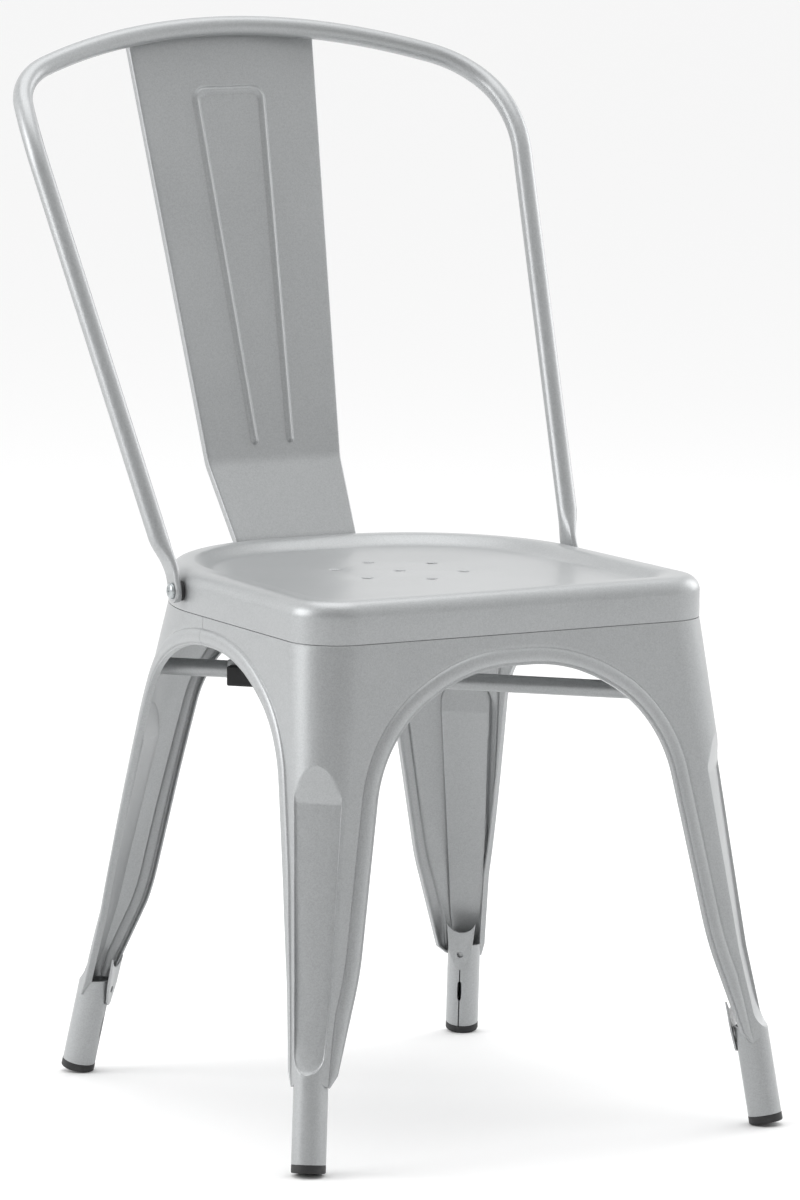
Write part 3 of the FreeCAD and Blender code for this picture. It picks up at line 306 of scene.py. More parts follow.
def flute_half(height):
    """Half width of the flute's outline at a height, round at both ends."""
    shoulder = FLUTE_TOP_Z - FLUTE_TOP_HALF
    foot = TUBE_TOP_Z + FLUTE_LOW_HALF
    if height > shoulder:
        return math.sqrt(max(FLUTE_TOP_HALF ** 2 - (height - shoulder) ** 2, 0.0))
    if height < foot:
        return math.sqrt(max(FLUTE_LOW_HALF ** 2 - (foot - height) ** 2, 0.0))
    share = (height - foot) / (shoulder - foot)
    return FLUTE_LOW_HALF + share * (FLUTE_TOP_HALF - FLUTE_LOW_HALF)


def flute_inside(way, height):
    """How far a point lies inside the flute's outline."""
    shoulder = FLUTE_TOP_Z - FLUTE_TOP_HALF
    foot = TUBE_TOP_Z + FLUTE_LOW_HALF
    if height > shoulder:
        return FLUTE_TOP_HALF - math.hypot(way, height - shoulder)
    if height < foot:
        return FLUTE_LOW_HALF - math.hypot(way, foot - height)
    return flute_half(height) - abs(way)


def flute_floor(height):
    """Depth of the flute's floor below the corner at a height."""
    if height > FLUTE_TOP_Z - FLUTE_RAMP:
        return FLUTE_DEPTH * max((FLUTE_TOP_Z - height) / FLUTE_RAMP, 0.0)
    run = TUBE_TOP_Z + FLUTE_RUNOUT
    if height < run:
        share = min((run - height) / FLUTE_RUNOUT, 1.0)
        return FLUTE_DEPTH * math.sqrt(max(1 - share ** RUNOUT_POWER, 0.0))
    return FLUTE_DEPTH


def smooth(value):
    """Soft step from 0 to 1."""
    value = min(max(value, 0.0), 1.0)
    return value * value * (3 - 2 * value)


FLUTE_EDGE = 1.5
FLUTE_CROWN = 0.8
TUBE_SINK = 0.06
SINK_RUN = 3.0


def skin_point(plan, way, height, raise_by=0.0):
    """Point of the leg's outer face with its flute pressed in and its bead raised."""
    spot, normal, outward = plan.point(way, height)
    inside = flute_inside(way, height)
    if inside > 0:
        apex, _, _ = plan.point(0.0, height)
        outward3 = np.array([*outward, 0.0])
        level = (spot - apex) @ outward3
        half = max(flute_half(height), 1.0)
        depth = flute_floor(height)
        crown = FLUTE_CROWN * (1 - min(abs(way) / half, 1.0) ** 2) * smooth(depth / FLUTE_DEPTH)
        floor = min(level, crown - depth)
        spot = spot + outward3 * (floor - level) * smooth(inside / FLUTE_EDGE)
    if height < TUBE_TOP_Z:
        raise_by = raise_by - TUBE_SINK * min((TUBE_TOP_Z - height) / SINK_RUN, 1.0)
    return spot + normal * raise_by


# Depths of the rows on the turned-in flange, and distances of the rows from the fold over the bead.
FLANGE_ROWS = [FLANGE_DEPTH, FLANGE_DEPTH * 0.6, 2.0, 0.9, 0.25]
BEAD_ROWS = [0.25, 0.8, 1.6, 2.0, 2.3, 3.0, 4.0, 5.6, 7.5, 9.4, 11.0, 12.0, 12.7, 13.0, 13.5, 14.4, 16.0]
GROOVE_DEPTH = 0.35
GROOVE_PLACE = BEAD_START + BEAD_WIDTH + 0.5
GROOVE_RUN = 0.7


def bead_rise(distance):
    """Height of the rolled bead, with a fine groove outside it."""
    across = (distance - BEAD_START - BEAD_WIDTH / 2) / (BEAD_WIDTH / 2)
    if abs(across) < 1:
        return BEAD_HEIGHT * math.sqrt(1 - across * across)
    if distance > BEAD_START + BEAD_WIDTH:
        return -GROOVE_DEPTH * math.exp(-((distance - GROOVE_PLACE) / GROOVE_RUN) ** 2)
    return 0.0


# Heights of the rows on the corner's middle line, closer where the flute starts and ends, and
# distances of the columns from the flute's edge, from outside it to inside.
APEX_TOP = list(np.linspace(SEAM_Z, SPLIT_Z, 22))
APEX_LEG = (list(np.linspace(SPLIT_Z, 276, 46)) + list(np.linspace(272, 128, 28))
            + list(np.linspace(124, TUBE_TOP_Z, 44)))
EDGE_STEPS = [-3.4, -1.8, -0.7, -0.15, 0.1, 0.35, 0.65, 1.0, 1.5, 2.6]
OUTER_STEPS = 14
FLOOR_STEPS = 9
LEAST_HALF = 4.0
BLEND_RUN = 34.0
CORNER_ROUND = 6.0
FLUTE_CLEAR = 4.0
LEAST_BEAD = 5.0
TOP_COLUMNS = 26
EDGE_ROOM = 0.95
MOST_TRIM = 0.7
BEAD_KEEP = 1.2
CROWN_SHARE = 0.2


def column_shares(outer, height):
    """Shares of the way from a bead's edge to the corner's middle line for one row."""
    count = OUTER_STEPS + len(EDGE_STEPS) + FLOOR_STEPS - 3
    even = np.arange(1, count + 1) / count
    half = max(flute_half(height), LEAST_HALF) if height < FLUTE_TOP_Z else LEAST_HALF
    squeeze = min(1.0, EDGE_ROOM * outer / (half - EDGE_STEPS[0]))
    stops = list(np.linspace(outer, (half - EDGE_STEPS[0]) * squeeze, OUTER_STEPS))[1:-1]
    stops += [(half - step) * squeeze for step in EDGE_STEPS]
    stops += list(np.linspace((half - EDGE_STEPS[-1]) * squeeze, 0, FLOOR_STEPS))[1:]
    fitted = 1 - np.array(stops) / outer
    blend = smooth((height - SPLIT_Z) / BLEND_RUN)
    return fitted * (1 - blend) + even * blend


def half_panel(plan, arch, side_wall, middle):
    """Grid of one leg's panel between an arch and the corner's middle line."""
    curve, normal = arch_curve(arch)
    sign = 1.0
    if side_wall:
        sign = 1.0 if plan.rear else -1.0
        along = SIDE_ARCH_Y + sign * curve[:, 0]
        begin = int(np.argmax((along - middle) * sign >= 0))
    else:
        along = np.array([plan.unrolled(x, z) for x, z in curve])
        begin = 0
    fold = np.stack([along, curve[:, 1]], 1)[begin:]
    into = np.stack([normal[:, 0] * sign, normal[:, 1]], 1)[begin:]
    fold[0, 0] = middle
    into[0] = (0.0, 1.0)
    low = curve[-1, 1] + CORNER_ROUND
    spread, trim = [], []
    for at, height in fold:
        straight = max(min(height, FLUTE_TOP_Z - FLUTE_TOP_HALF), TUBE_TOP_Z + FLUTE_LOW_HALF)
        room = abs(plan.way_at(side_wall, at, height)) - FLUTE_CLEAR - flute_half(straight)
        spread.append(min(max(room, LEAST_BEAD), BEAD_ROWS[-1]))
        drop = 0.0
        if height < low:
            drop = CORNER_ROUND - math.sqrt(max(CORNER_ROUND ** 2 - (low - height) ** 2, 0.0))
        trim.append(min(drop, MOST_TRIM * spread[-1]))
    spread, trim = np.array(spread), np.array(trim)
    rim = fold + into * spread[:, None]
    late = np.arange(len(rim)) > len(rim) * CROWN_SHARE
    split = int(np.argmin(np.where(late, np.abs(rim[:, 1] - SPLIT_Z), math.inf)))
    mid_way = plan.way_at(side_wall, middle, SEAM_Z)
    ends = [(mid_way * (1 - s), SEAM_Z) for s in np.linspace(0, 1, TOP_COLUMNS, endpoint=False)]
    ends += [(0.0, z) for z in APEX_TOP]
    picks = list(np.linspace(0, split, len(ends)))
    tail = rim[split:, 1]
    order = np.argsort(tail)
    for height in APEX_LEG[1:]:
        picks.append(split + float(np.interp(height, tail[order], order)))
        ends.append((0.0, height))
    picks[-1] = len(fold) - 1
    points = []
    for pick, end in zip(picks, ends):
        before = int(pick)
        after = min(before + 1, len(fold) - 1)
        mix = pick - before
        spot, lean, reach, cut = [v[before] * (1 - mix) + v[after] * mix for v in (fold, into, spread, trim)]
        lean = lean / np.linalg.norm(lean)
        fit = (reach - cut) / BEAD_ROWS[-1]
        edge = spot + lean * cut
        fold_spot, fold_normal, _ = plan.point(plan.way_at(side_wall, *edge), edge[1])
        line = [fold_spot - fold_normal * depth for depth in FLANGE_ROWS]
        for distance in BEAD_ROWS:
            at = edge + lean * distance * fit
            at[1] = min(at[1], SEAM_Z)
            way = plan.way_at(side_wall, *at)
            line.append(skin_point(plan, way, at[1], bead_rise(distance) * min(fit * BEAD_KEEP, 1.0)))
        for share in column_shares(abs(way), end[1]):
            line.append(skin_point(plan, way + (end[0] - way) * share, at[1] + (end[1] - at[1]) * share))
        points += line
    return points, grid_faces(len(picks), len(line))


def bake_modifiers(piece):
    """Turns a piece with modifiers into its own plain mesh."""
    graph = bpy.context.evaluated_depsgraph_get()
    mesh = bpy.data.meshes.new_from_object(piece.evaluated_get(graph))
    piece.modifiers.clear()
    old = piece.data
    piece.data = mesh
    bpy.data.meshes.remove(old)
    return piece


def thickened(piece):
    """Sheet thickness inwards, applied."""
    wall = piece.modifiers.new("wall", "SOLIDIFY")
    wall.thickness = SHEET * MM
    wall.offset = -1.0
    wall.use_even_offset = False
    return bake_modifiers(piece)


def turned_outwards(piece, inside_point):
    """Flips an open sheet whose faces look at a point inside the chair."""
    mesh = piece.data
    centre = Vector(inside_point)
    score = sum((face.center - centre).dot(face.normal) * face.area for face in mesh.polygons)
    if score < 0:
        mesh.flip_normals()
    return piece


def foot_axis_point(plan, height):
    """Middle of the foot tube at a height."""
    sizes = plan_at(height)
    level, front_half, rear_half, front_y, rear_y = sizes[:5]
    side = np.array([rear_half - front_half, rear_y - front_y])
    side /= np.linalg.norm(side)
    side_normal = np.array([side[1], -side[0]])
    end_normal = np.array([0.0, 1.0 if plan.rear else -1.0])
    middle = side_normal + end_normal
    middle /= np.linalg.norm(middle)
    spot = np.array([rear_half, rear_y]) if plan.rear else np.array([front_half, front_y])
    return np.array([*(spot - middle * TUBE_RADIUS / (middle @ end_normal)), height]), middle


SLIT_HALF = 0.5
SLIT_TOP_Z = 64.0
WINDOW_HALF = 1.8
WINDOW_Z = (29.0, 46.0)
SLIT_END_RUN = 0.5
CLOSED_HALF = 0.01
CAP_TOP = 6.5
CAP_EDGE_SINK = 0.4
TUBE_COLUMNS = 64


def slit_half(height):
    """Half width of the gap where the rolled foot closes, with its longer window."""
    middle, reach = (WINDOW_Z[0] + WINDOW_Z[1]) / 2, (WINDOW_Z[1] - WINDOW_Z[0]) / 2
    off = abs(height - middle) / reach
    wide = SLIT_HALF * smooth((SLIT_TOP_Z - height) / SLIT_END_RUN)
    if off < 1:
        wide += (WINDOW_HALF - SLIT_HALF) * (1 - off ** 4) ** 0.5
    return max(wide, CLOSED_HALF)


def foot_tube(plan):
    """Rolled foot as an open sheet, split down its inner side."""
    top, outward = foot_axis_point(plan, TUBE_TOP_Z)
    low, outward = foot_axis_point(plan, 0.0)
    axis = (top - low) / np.linalg.norm(top - low)
    inner = math.atan2(-outward[1], -outward[0])
    sole = TUBE_RADIUS * math.sin(math.acos(axis[2])) - CAP_EDGE_SINK
    levels = list(np.linspace(TUBE_TOP_Z, SLIT_TOP_Z, 4))
    levels += [SLIT_TOP_Z - SLIT_END_RUN / 2, SLIT_TOP_Z - SLIT_END_RUN, 56.0]
    levels += list(np.linspace(WINDOW_Z[1] + 0.3, WINDOW_Z[0] - 0.3, 35)) + [24.0]
    points = []
    for level in levels + [None]:
        gap = slit_half(level or 0.0) / TUBE_RADIUS
        for step in range(TUBE_COLUMNS + 1):
            angle = inner + gap + (2 * math.pi - 2 * gap) * step / TUBE_COLUMNS
            round_point = np.array([math.cos(angle), math.sin(angle), 0.0]) * TUBE_RADIUS
            height = sole + CAP_TOP - round_point @ axis if level is None else level
            spot, _ = foot_axis_point(plan, height)
            points.append(spot + round_point)
    return points, grid_faces(len(levels) + 1, TUBE_COLUMNS + 1)


TONGUE_RISE = 7.0
TONGUE_SINK = 1.6
TONGUE_STEPS = 60
LAP_HALF_GAP = 0.15
SMOOTH_ANGLE = 35
FRONT_BUTT = 0.02
REAR_BUTT = 0.12


def seam_tongue(plan, middle_end, middle_side):
    """Strip that stands up inside the seat's skirt."""
    stops = np.r_[np.linspace(plan.way_at(False, middle_end, SEAM_Z), 0, TONGUE_STEPS),
                  np.linspace(0, plan.way_at(True, middle_side, SEAM_Z), TONGUE_STEPS)[1:]]
    points = []
    for height, sink in ((SEAM_Z, 0.0), (SEAM_Z, TONGUE_SINK), (SEAM_Z + TONGUE_RISE, TONGUE_SINK)):
        for way in stops:
            spot, normal, _ = plan.point(way, SEAM_Z, sink)
            points.append(np.array([spot[0], spot[1], height]))
    return points, grid_faces(3, len(stops))


def build_leg(name, rear, left):
    """One leg's pressing, tube and tongue as one piece."""
    plan = LegPlan(rear)
    end_arch = REAR_ARCH if rear else FRONT_ARCH
    lap = LAP_Y + (LAP_HALF_GAP if rear else -LAP_HALF_GAP)
    butt = REAR_BUTT if rear else FRONT_BUTT
    blocks = [half_panel(plan, end_arch, False, butt), half_panel(plan, SIDE_ARCH, True, lap)]
    points, faces = [], []
    for block_points, block_faces in blocks:
        start = len(points)
        points += list(block_points)
        faces += [tuple(start + corner for corner in face) for face in block_faces]
    others = [foot_tube(plan), seam_tongue(plan, butt, lap)]
    pieces = []
    for number, (block_points, block_faces) in enumerate([(points, faces)] + others):
        block = np.array(block_points, float)
        if left:
            block = block * np.array([-1.0, 1.0, 1.0])
        piece = new_piece(name + "_" + str(number), block, block_faces, silver)
        if number == 1:
            centre = in_frame(block.mean(axis=0))[0]
            turned_outwards(piece, centre)
        else:
            turned_outwards(piece, (0, SHIFT_Y * MM, 0.25))
        pieces.append(thickened(piece))
    leg = joined(pieces, name)
    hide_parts(name)
    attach(leg, "root")
    return leg


def joined(pieces, name):
    """Several meshes as one piece, shaded smooth but for its sharp folds."""
    whole = bmesh.new()
    for piece in pieces:
        whole.from_mesh(piece.data)
    mesh = bpy.data.meshes.new(name)
    whole.to_mesh(mesh)
    whole.free()
    material = pieces[0].data.materials[0]
    for piece in pieces:
        bpy.data.objects.remove(piece)
    mesh.materials.append(material)
    for face in mesh.polygons:
        face.use_smooth = True
        face.material_index = 0
    mesh.set_sharp_from_angle(angle=math.radians(SMOOTH_ANGLE))
    piece = bpy.data.objects.new(name + "_skin", mesh)
    bpy.context.scene.collection.objects.link(piece)
    return piece


for leg_name, is_rear, is_left in (("leg_front_left", False, True), ("leg_front_right", False, False),
                                   ("leg_rear_left", True, True), ("leg_rear_right", True, False)):
    build_leg(leg_name, is_rear, is_left)

# Seat
# One pressing of 1.5 mm steel with a turned-down skirt, a raised round rim and a shallow dish
# with seven drain holes. It sits over the legs' tongues.

RIM_Z = 435.0
RIM_ROUND = 13.0
RIM_WIDTH = 27.0
DISH_DEPTH = 8.0
DRAIN_RADIUS = 4.5
DRAIN_CIRCLE = 51.0
SKIRT_LOW_Z = SEAM_Z + 0.6
SKIRT_MIDDLE_Z = 411.0
RIM_TOP_INSET = 16.0
DISH_FROM = 19.5
DISH_TO = 38.0
DISH_EDGE = 4.0
DISH_ROWS = 15
FRONT_CORNER, REAR_CORNER = SEAM_LEVEL[5:]
DISH_FRONT_CORNER = 30.0
DISH_REAR_CORNER = 120.0
ARC_STEPS = 40
SIDE_STEPS = 30
SEAT_SMOOTH_ANGLE = 50


def seat_outline(inset, front_radius, rear_radius):
    """Closed outline of the seat moved inwards, always with the same number of points."""
    level, front_half, rear_half, front_y, rear_y = SEAM_LEVEL[:5]
    corners = [np.array(c, float) for c in ((-front_half, front_y), (front_half, front_y),
                                            (rear_half, rear_y), (-rear_half, rear_y))]
    lines = []
    for index, start in enumerate(corners):
        along = corners[(index + 1) % 4] - start
        along /= np.linalg.norm(along)
        lines.append((start + np.array([-along[1], along[0]]) * inset, along))
    moved = []
    for index in range(4):
        (base_a, dir_a), (base_b, dir_b) = lines[index - 1], lines[index]
        gap = base_b - base_a
        turn = dir_a[0] * dir_b[1] - dir_a[1] * dir_b[0]
        moved.append(base_a + dir_a * ((gap[0] * dir_b[1] - gap[1] * dir_b[0]) / turn))
    arcs = []
    for index, radius in enumerate((front_radius, front_radius, rear_radius, rear_radius)):
        corner = moved[index]
        normal_a = np.array([lines[index - 1][1][1], -lines[index - 1][1][0]])
        normal_b = np.array([lines[index][1][1], -lines[index][1][0]])
        middle = normal_a + normal_b
        middle /= np.linalg.norm(middle)
        centre = corner - middle * radius / (middle @ normal_a)
        start = math.atan2(normal_a[1], normal_a[0])
        turn = math.atan2(normal_a[0] * normal_b[1] - normal_a[1] * normal_b[0], normal_a @ normal_b)
        angles = start + turn * np.linspace(0, 1, ARC_STEPS + 1)
        arcs.append(centre + radius * np.stack([np.cos(angles), np.sin(angles)], 1))
    ring = []
    for index, arc in enumerate(arcs):
        ring += list(arc)
        following = arcs[(index + 1) % 4][0]
        for share in np.linspace(0, 1, SIDE_STEPS + 1)[1:-1]:
            ring.append(arc[-1] + (following - arc[-1]) * share)
    return np.array(ring)


seat_profile = [(0.0, SKIRT_LOW_Z), (0.0, SKIRT_LOW_Z + 0.5), (0.0, SKIRT_MIDDLE_Z),
                (0.0, RIM_Z - RIM_ROUND)]
for quarter in np.linspace(0, math.pi / 2, 13)[1:]:
    seat_profile.append((RIM_ROUND * (1 - math.cos(quarter)), RIM_Z - RIM_ROUND * (1 - math.sin(quarter))))
seat_profile.append((RIM_TOP_INSET, RIM_Z))
for share in np.linspace(0, 1, DISH_ROWS):
    seat_profile.append((DISH_FROM + (DISH_TO - DISH_FROM) * share, RIM_Z - DISH_DEPTH * smooth(share)))
seat_profile.append((DISH_TO + DISH_EDGE, RIM_Z - DISH_DEPTH))

seat_points = []
for inset, height in seat_profile:
    blend = smooth((inset - RIM_ROUND) / (RIM_WIDTH - RIM_ROUND))
    front = (FRONT_CORNER - inset) * (1 - blend) + (DISH_FRONT_CORNER - (inset - RIM_WIDTH)) * blend
    rear = (REAR_CORNER - inset) * (1 - blend) + (DISH_REAR_CORNER - (inset - RIM_WIDTH)) * blend
    for across, along in seat_outline(inset, front, rear):
        seat_points.append((across, along, height))
ring_count = 4 * (ARC_STEPS + 1) + 4 * (SIDE_STEPS - 1)
seat_faces = grid_faces(len(seat_profile), ring_count, closed=True)

seat_shape = bmesh.new()
seat_verts = [seat_shape.verts.new(tuple(p)) for p in in_frame(seat_points)]
for face in seat_faces:
    seat_shape.faces.new([seat_verts[corner] for corner in face])
floor_edges = []
inner_ring = seat_verts[-ring_count:]
seat_shape.verts.ensure_lookup_table()
for index in range(ring_count):
    edge = seat_shape.edges.get((inner_ring[index], inner_ring[(index + 1) % ring_count]))
    floor_edges.append(edge)
HOLE_STEPS = 40
HOLE_LIP = [(1.6, 0.0), (0.9, -0.08), (0.35, -0.3), (0.05, -0.75)]
centres = [(0.0, 0.0)]
for count in range(6):
    turn = math.radians(90 + 60 * count)
    centres.append((DRAIN_CIRCLE * math.cos(turn), DRAIN_CIRCLE * math.sin(turn)))
for centre in centres:
    rings = []
    for spread, drop in HOLE_LIP:
        ring = []
        for step in range(HOLE_STEPS):
            turn = 2 * math.pi * step / HOLE_STEPS
            radius = DRAIN_RADIUS + spread
            spot = in_frame([(centre[0] + radius * math.cos(turn), centre[1] + radius * math.sin(turn),
                              RIM_Z - DISH_DEPTH + drop)])[0]
            ring.append(seat_shape.verts.new(tuple(spot)))
        rings.append(ring)
    for outer, inner in zip(rings, rings[1:]):
        for step in range(HOLE_STEPS):
            after = (step + 1) % HOLE_STEPS
            seat_shape.faces.new([outer[step], outer[after], inner[after], inner[step]])
    for step in range(HOLE_STEPS):
        floor_edges.append(seat_shape.edges.get((rings[0][step], rings[0][(step + 1) % HOLE_STEPS])))
bmesh.ops.triangle_fill(seat_shape, use_beauty=True, use_dissolve=False, edges=floor_edges,
                        normal=Vector((0, 0, 1)))
bmesh.ops.recalc_face_normals(seat_shape, faces=seat_shape.faces)
seat_mesh = bpy.data.meshes.new("seat_pan_skin")
seat_shape.to_mesh(seat_mesh)
seat_shape.free()
for face in seat_mesh.polygons:
    face.use_smooth = True
seat = bpy.data.objects.new("seat_pan_skin", seat_mesh)
bpy.context.scene.collection.objects.link(seat)
dress(seat, silver)
turned_outwards(seat, (0, 0, 0.3))
thickened(seat)
seat.data.set_sharp_from_angle(angle=math.radians(SEAT_SMOOTH_ANGLE))
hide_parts("seat_pan")
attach(seat, "root")

# Gussets and pad brackets
# Flat pressings of the same sheet steel, welded on, with the small rounds that a punch and a
# coat of powder leave on their edges.

GUSSETS = ["leg_gusset_front_left", "leg_gusset_front_right", "leg_gusset_rear_left",
           "leg_gusset_rear_right"]
BRACKETS = ["pad_bracket_left", "pad_bracket_right"]
SHEET_EDGE_ROUND = 0.35


def softened(node, material, edge_round):
    """Merged copy of a CAD piece with its edges rounded, in the piece's place."""
    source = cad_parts[node]
    shape = bmesh.new()
    shape.from_mesh(source.data)
    bmesh.ops.remove_doubles(shape, verts=shape.verts, dist=0.002 * MM)
    bmesh.ops.dissolve_limit(shape, angle_limit=math.radians(0.5), verts=shape.verts, edges=shape.edges)
    mesh = bpy.data.meshes.new(node + "_soft")
    shape.to_mesh(mesh)
    shape.free()
    piece = bpy.data.objects.new(node + "_soft", mesh)
    bpy.context.scene.collection.objects.link(piece)
    dress(piece, material)
    for face in mesh.polygons:
        face.use_smooth = True
    soft = piece.modifiers.new("edge", "BEVEL")
    soft.width = edge_round * MM
    soft.segments = 3
    soft.limit_method = "ANGLE"
    soft.angle_limit = math.radians(40)
    soft.use_clamp_overlap = True
    bake_modifiers(piece)
    piece.data.set_sharp_from_angle(angle=math.radians(SMOOTH_ANGLE))
    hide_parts(node)
    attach(piece, "root")
    return piece


for gusset in GUSSETS + BRACKETS:
    softened(gusset, silver, SHEET_EDGE_ROUND)

# Foot caps
# Polypropylene caps moulded in black, pushed into the foot tubes. The mould's fine spark finish
# leaves them a dull dark grey that scuffs a little paler at the floor.

CAP_BLACK = "232324"
CAP_SCUFF = "3A3A3A"
SPARK_MM = 0.5
SCUFF_MM = 9.0
CAP_EDGE_ROUND = 0.25


def moulded_plastic():
    """Black polypropylene with a spark-eroded grain."""
    material, tree, shader = new_finish("black_polypropylene", {"Roughness": 0.55, "IOR": 1.49})
    place = add_node(tree, "ShaderNodeTexCoord").outputs["Object"]
    grain = add_node(tree, "ShaderNodeTexNoise", {"Scale": 1 / (SPARK_MM * MM), "Detail": 2.0},
                     {"Vector": place})
    scuff = add_node(tree, "ShaderNodeTexNoise",
                     {"Scale": 1 / (SCUFF_MM * MM), "Detail": 5.0, "Roughness": 0.7}, {"Vector": place})
    worn = add_node(tree, "ShaderNodeMapRange", {"From Min": 0.5, "From Max": 0.78},
                    {"Value": scuff.outputs["Fac"]})
    tint = add_node(tree, "ShaderNodeMix", {"data_type": "RGBA"}, {0: worn.outputs[0]})
    tint.inputs[6].default_value = from_hex(CAP_BLACK)
    tint.inputs[7].default_value = from_hex(CAP_SCUFF)
    tree.links.new(tint.outputs[2], shader.inputs["Base Color"])
    bump = add_node(tree, "ShaderNodeBump", {"Strength": 0.25, "Distance": 0.08 * MM},
                    {"Height": grain.outputs["Fac"]})
    tree.links.new(bump.outputs[0], shader.inputs["Normal"])
    return material


polypropylene = moulded_plastic()
for cap in ("foot_cap_front_left", "foot_cap_front_right", "foot_cap_rear_left", "foot_cap_rear_right"):
    softened(cap, polypropylene, CAP_EDGE_ROUND)

# Crossed braces
# Steel tube, 14 mm across, welded from corner to corner under the seat. One tube runs through
# and the other is cut in two against it. Powder coated with the frame.

BRACE_Z = 341.0
BRACE_RADIUS = 7.0
BRACE_STOP = SHEET + 0.5
BRACE_BUTT = 1.0
TUBE_SIDES = 48


def new_tree(name, inputs):
    """Geometry Nodes tree with a geometry input and output and its own named inputs."""
    tree = bpy.data.node_groups.new(name, "GeometryNodeTree")
    tree.interface.new_socket("Geometry", in_out="INPUT", socket_type="NodeSocketGeometry")
    for label, kind in inputs:
        tree.interface.new_socket(label, in_out="INPUT", socket_type=kind)
    tree.interface.new_socket("Geometry", in_out="OUTPUT", socket_type="NodeSocketGeometry")
    return tree, tree.nodes.new("NodeGroupInput"), tree.nodes.new("NodeGroupOutput")


def tube_tree():
    """Tree that carries a round tube along each edge path."""
    tree, given, result = new_tree("tube_on_path", [
        ("Radius", "NodeSocketFloat"), ("Sides", "NodeSocketInt"), ("Finish", "NodeSocketMaterial")])
    path = add_node(tree, "GeometryNodeMeshToCurve", links={"Mesh": given.outputs["Geometry"]})
    ring = add_node(tree, "GeometryNodeCurvePrimitiveCircle",
                    links={"Resolution": given.outputs["Sides"], "Radius": given.outputs["Radius"]})
    tube = add_node(tree, "GeometryNodeCurveToMesh", {"Fill Caps": True},
                    {"Curve": path.outputs["Curve"], "Profile Curve": ring.outputs["Curve"]})
    real = add_node(tree, "GeometryNodeRealizeInstances", links={"Geometry": tube.outputs["Mesh"]})
    coat = add_node(tree, "GeometryNodeSetMaterial",
                    links={"Geometry": real.outputs["Geometry"], "Material": given.outputs["Finish"]})
    tree.links.new(coat.outputs["Geometry"], result.inputs["Geometry"])
    return tree


def run_tree(piece, tree, values):
    """Runs a tree on a piece with its inputs set by name and keeps the plain mesh."""
    nodes = piece.modifiers.new("nodes", "NODES")
    nodes.node_group = tree
    for item in tree.interface.items_tree:
        if item.item_type == "SOCKET" and item.in_out == "INPUT" and item.name in values:
            nodes[item.identifier] = values[item.name]
    bake_modifiers(piece)
    for face in piece.data.polygons:
        face.use_smooth = True


def grown(name, points, edges, tree, values):
    """Plain mesh object from a Geometry Nodes tree run on a path's points and edges."""
    mesh = bpy.data.meshes.new(name)
    mesh.from_pydata([tuple(p) for p in in_frame(points)], edges, [])
    piece = bpy.data.objects.new(name, mesh)
    bpy.context.scene.collection.objects.link(piece)
    run_tree(piece, tree, values)
    shape = bmesh.new()
    shape.from_mesh(piece.data)
    bmesh.ops.remove_doubles(shape, verts=shape.verts, dist=0.005 * MM)
    bmesh.ops.recalc_face_normals(shape, faces=shape.faces)
    shape.to_mesh(piece.data)
    shape.free()
    piece.data.set_sharp_from_angle(angle=math.radians(SMOOTH_ANGLE))
    return piece


def brace_apex(rear, side):
    """Outer corner of a leg at the braces' height."""
    spot, normal, outward = LegPlan(rear).point(0.0, BRACE_Z)
    return np.array([spot[0] * side, spot[1], BRACE_Z])


tube_on_path = tube_tree()
corner_front = brace_apex(False, 1)
corner_rear = brace_apex(True, 1)
across = corner_front * np.array([-1, 1, 1]) - corner_rear
across /= np.linalg.norm(across)
middle_y = corner_rear[1] + across[1] * (-corner_rear[0] / across[0])
brace_middle = np.array([0.0, middle_y, BRACE_Z])
BRACES = [("brace_through", True, -1, True), ("brace_front_left", False, -1, False),
          ("brace_rear_right", True, 1, False)]
for brace, rear, side, through in BRACES:
    outer_end = brace_apex(rear, side)
    along = (outer_end - brace_middle) / np.linalg.norm(outer_end - brace_middle)
    outer_end = outer_end - along * BRACE_STOP
    if through:
        far_end = brace_apex(not rear, -side)
        inner_end = far_end + along * BRACE_STOP
    else:
        inner_end = brace_middle + along * (BRACE_RADIUS - BRACE_BUTT)
    tube = grown(brace + "_tube", [inner_end, outer_end], [(0, 1)], tube_on_path,
                 {"Radius": BRACE_RADIUS * MM, "Sides": TUBE_SIDES, "Finish": silver})
    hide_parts(brace)
    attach(tube, "root")

# Stacking pads and hoop washers
# Black natural rubber, moulded, held by the straps over the rear braces and under the hoop's
# pressed ends. Matt, with the faint bloom that rubber gets.

RUBBER_BLACK = "1E1E1F"
RUBBER_BLOOM = "303031"
BLOOM_MM = 6.0
RUBBER_EDGE_ROUND = 0.4


def moulded_rubber():
    """Matt black rubber with a soft cloudy bloom."""
    material, tree, shader = new_finish("black_rubber", {"Roughness": 0.78, "IOR": 1.52})
    place = add_node(tree, "ShaderNodeTexCoord").outputs["Object"]
    bloom = add_node(tree, "ShaderNodeTexNoise", {"Scale": 1 / (BLOOM_MM * MM), "Detail": 4.0},
                     {"Vector": place})
    tint = add_node(tree, "ShaderNodeMix", {"data_type": "RGBA"}, {0: bloom.outputs["Fac"]})
    tint.inputs[6].default_value = from_hex(RUBBER_BLACK)
    tint.inputs[7].default_value = from_hex(RUBBER_BLOOM)
    tree.links.new(tint.outputs[2], shader.inputs["Base Color"])
    bump = add_node(tree, "ShaderNodeBump", {"Strength": 0.15, "Distance": 0.1 * MM},
                    {"Height": bloom.outputs["Fac"]})
    tree.links.new(bump.outputs[0], shader.inputs["Normal"])
    return material


rubber = moulded_rubber()
for pad in ("stacking_pad_left", "stacking_pad_right", "hoop_washer_left", "hoop_washer_right"):
    softened(pad, rubber, RUBBER_EDGE_ROUND)

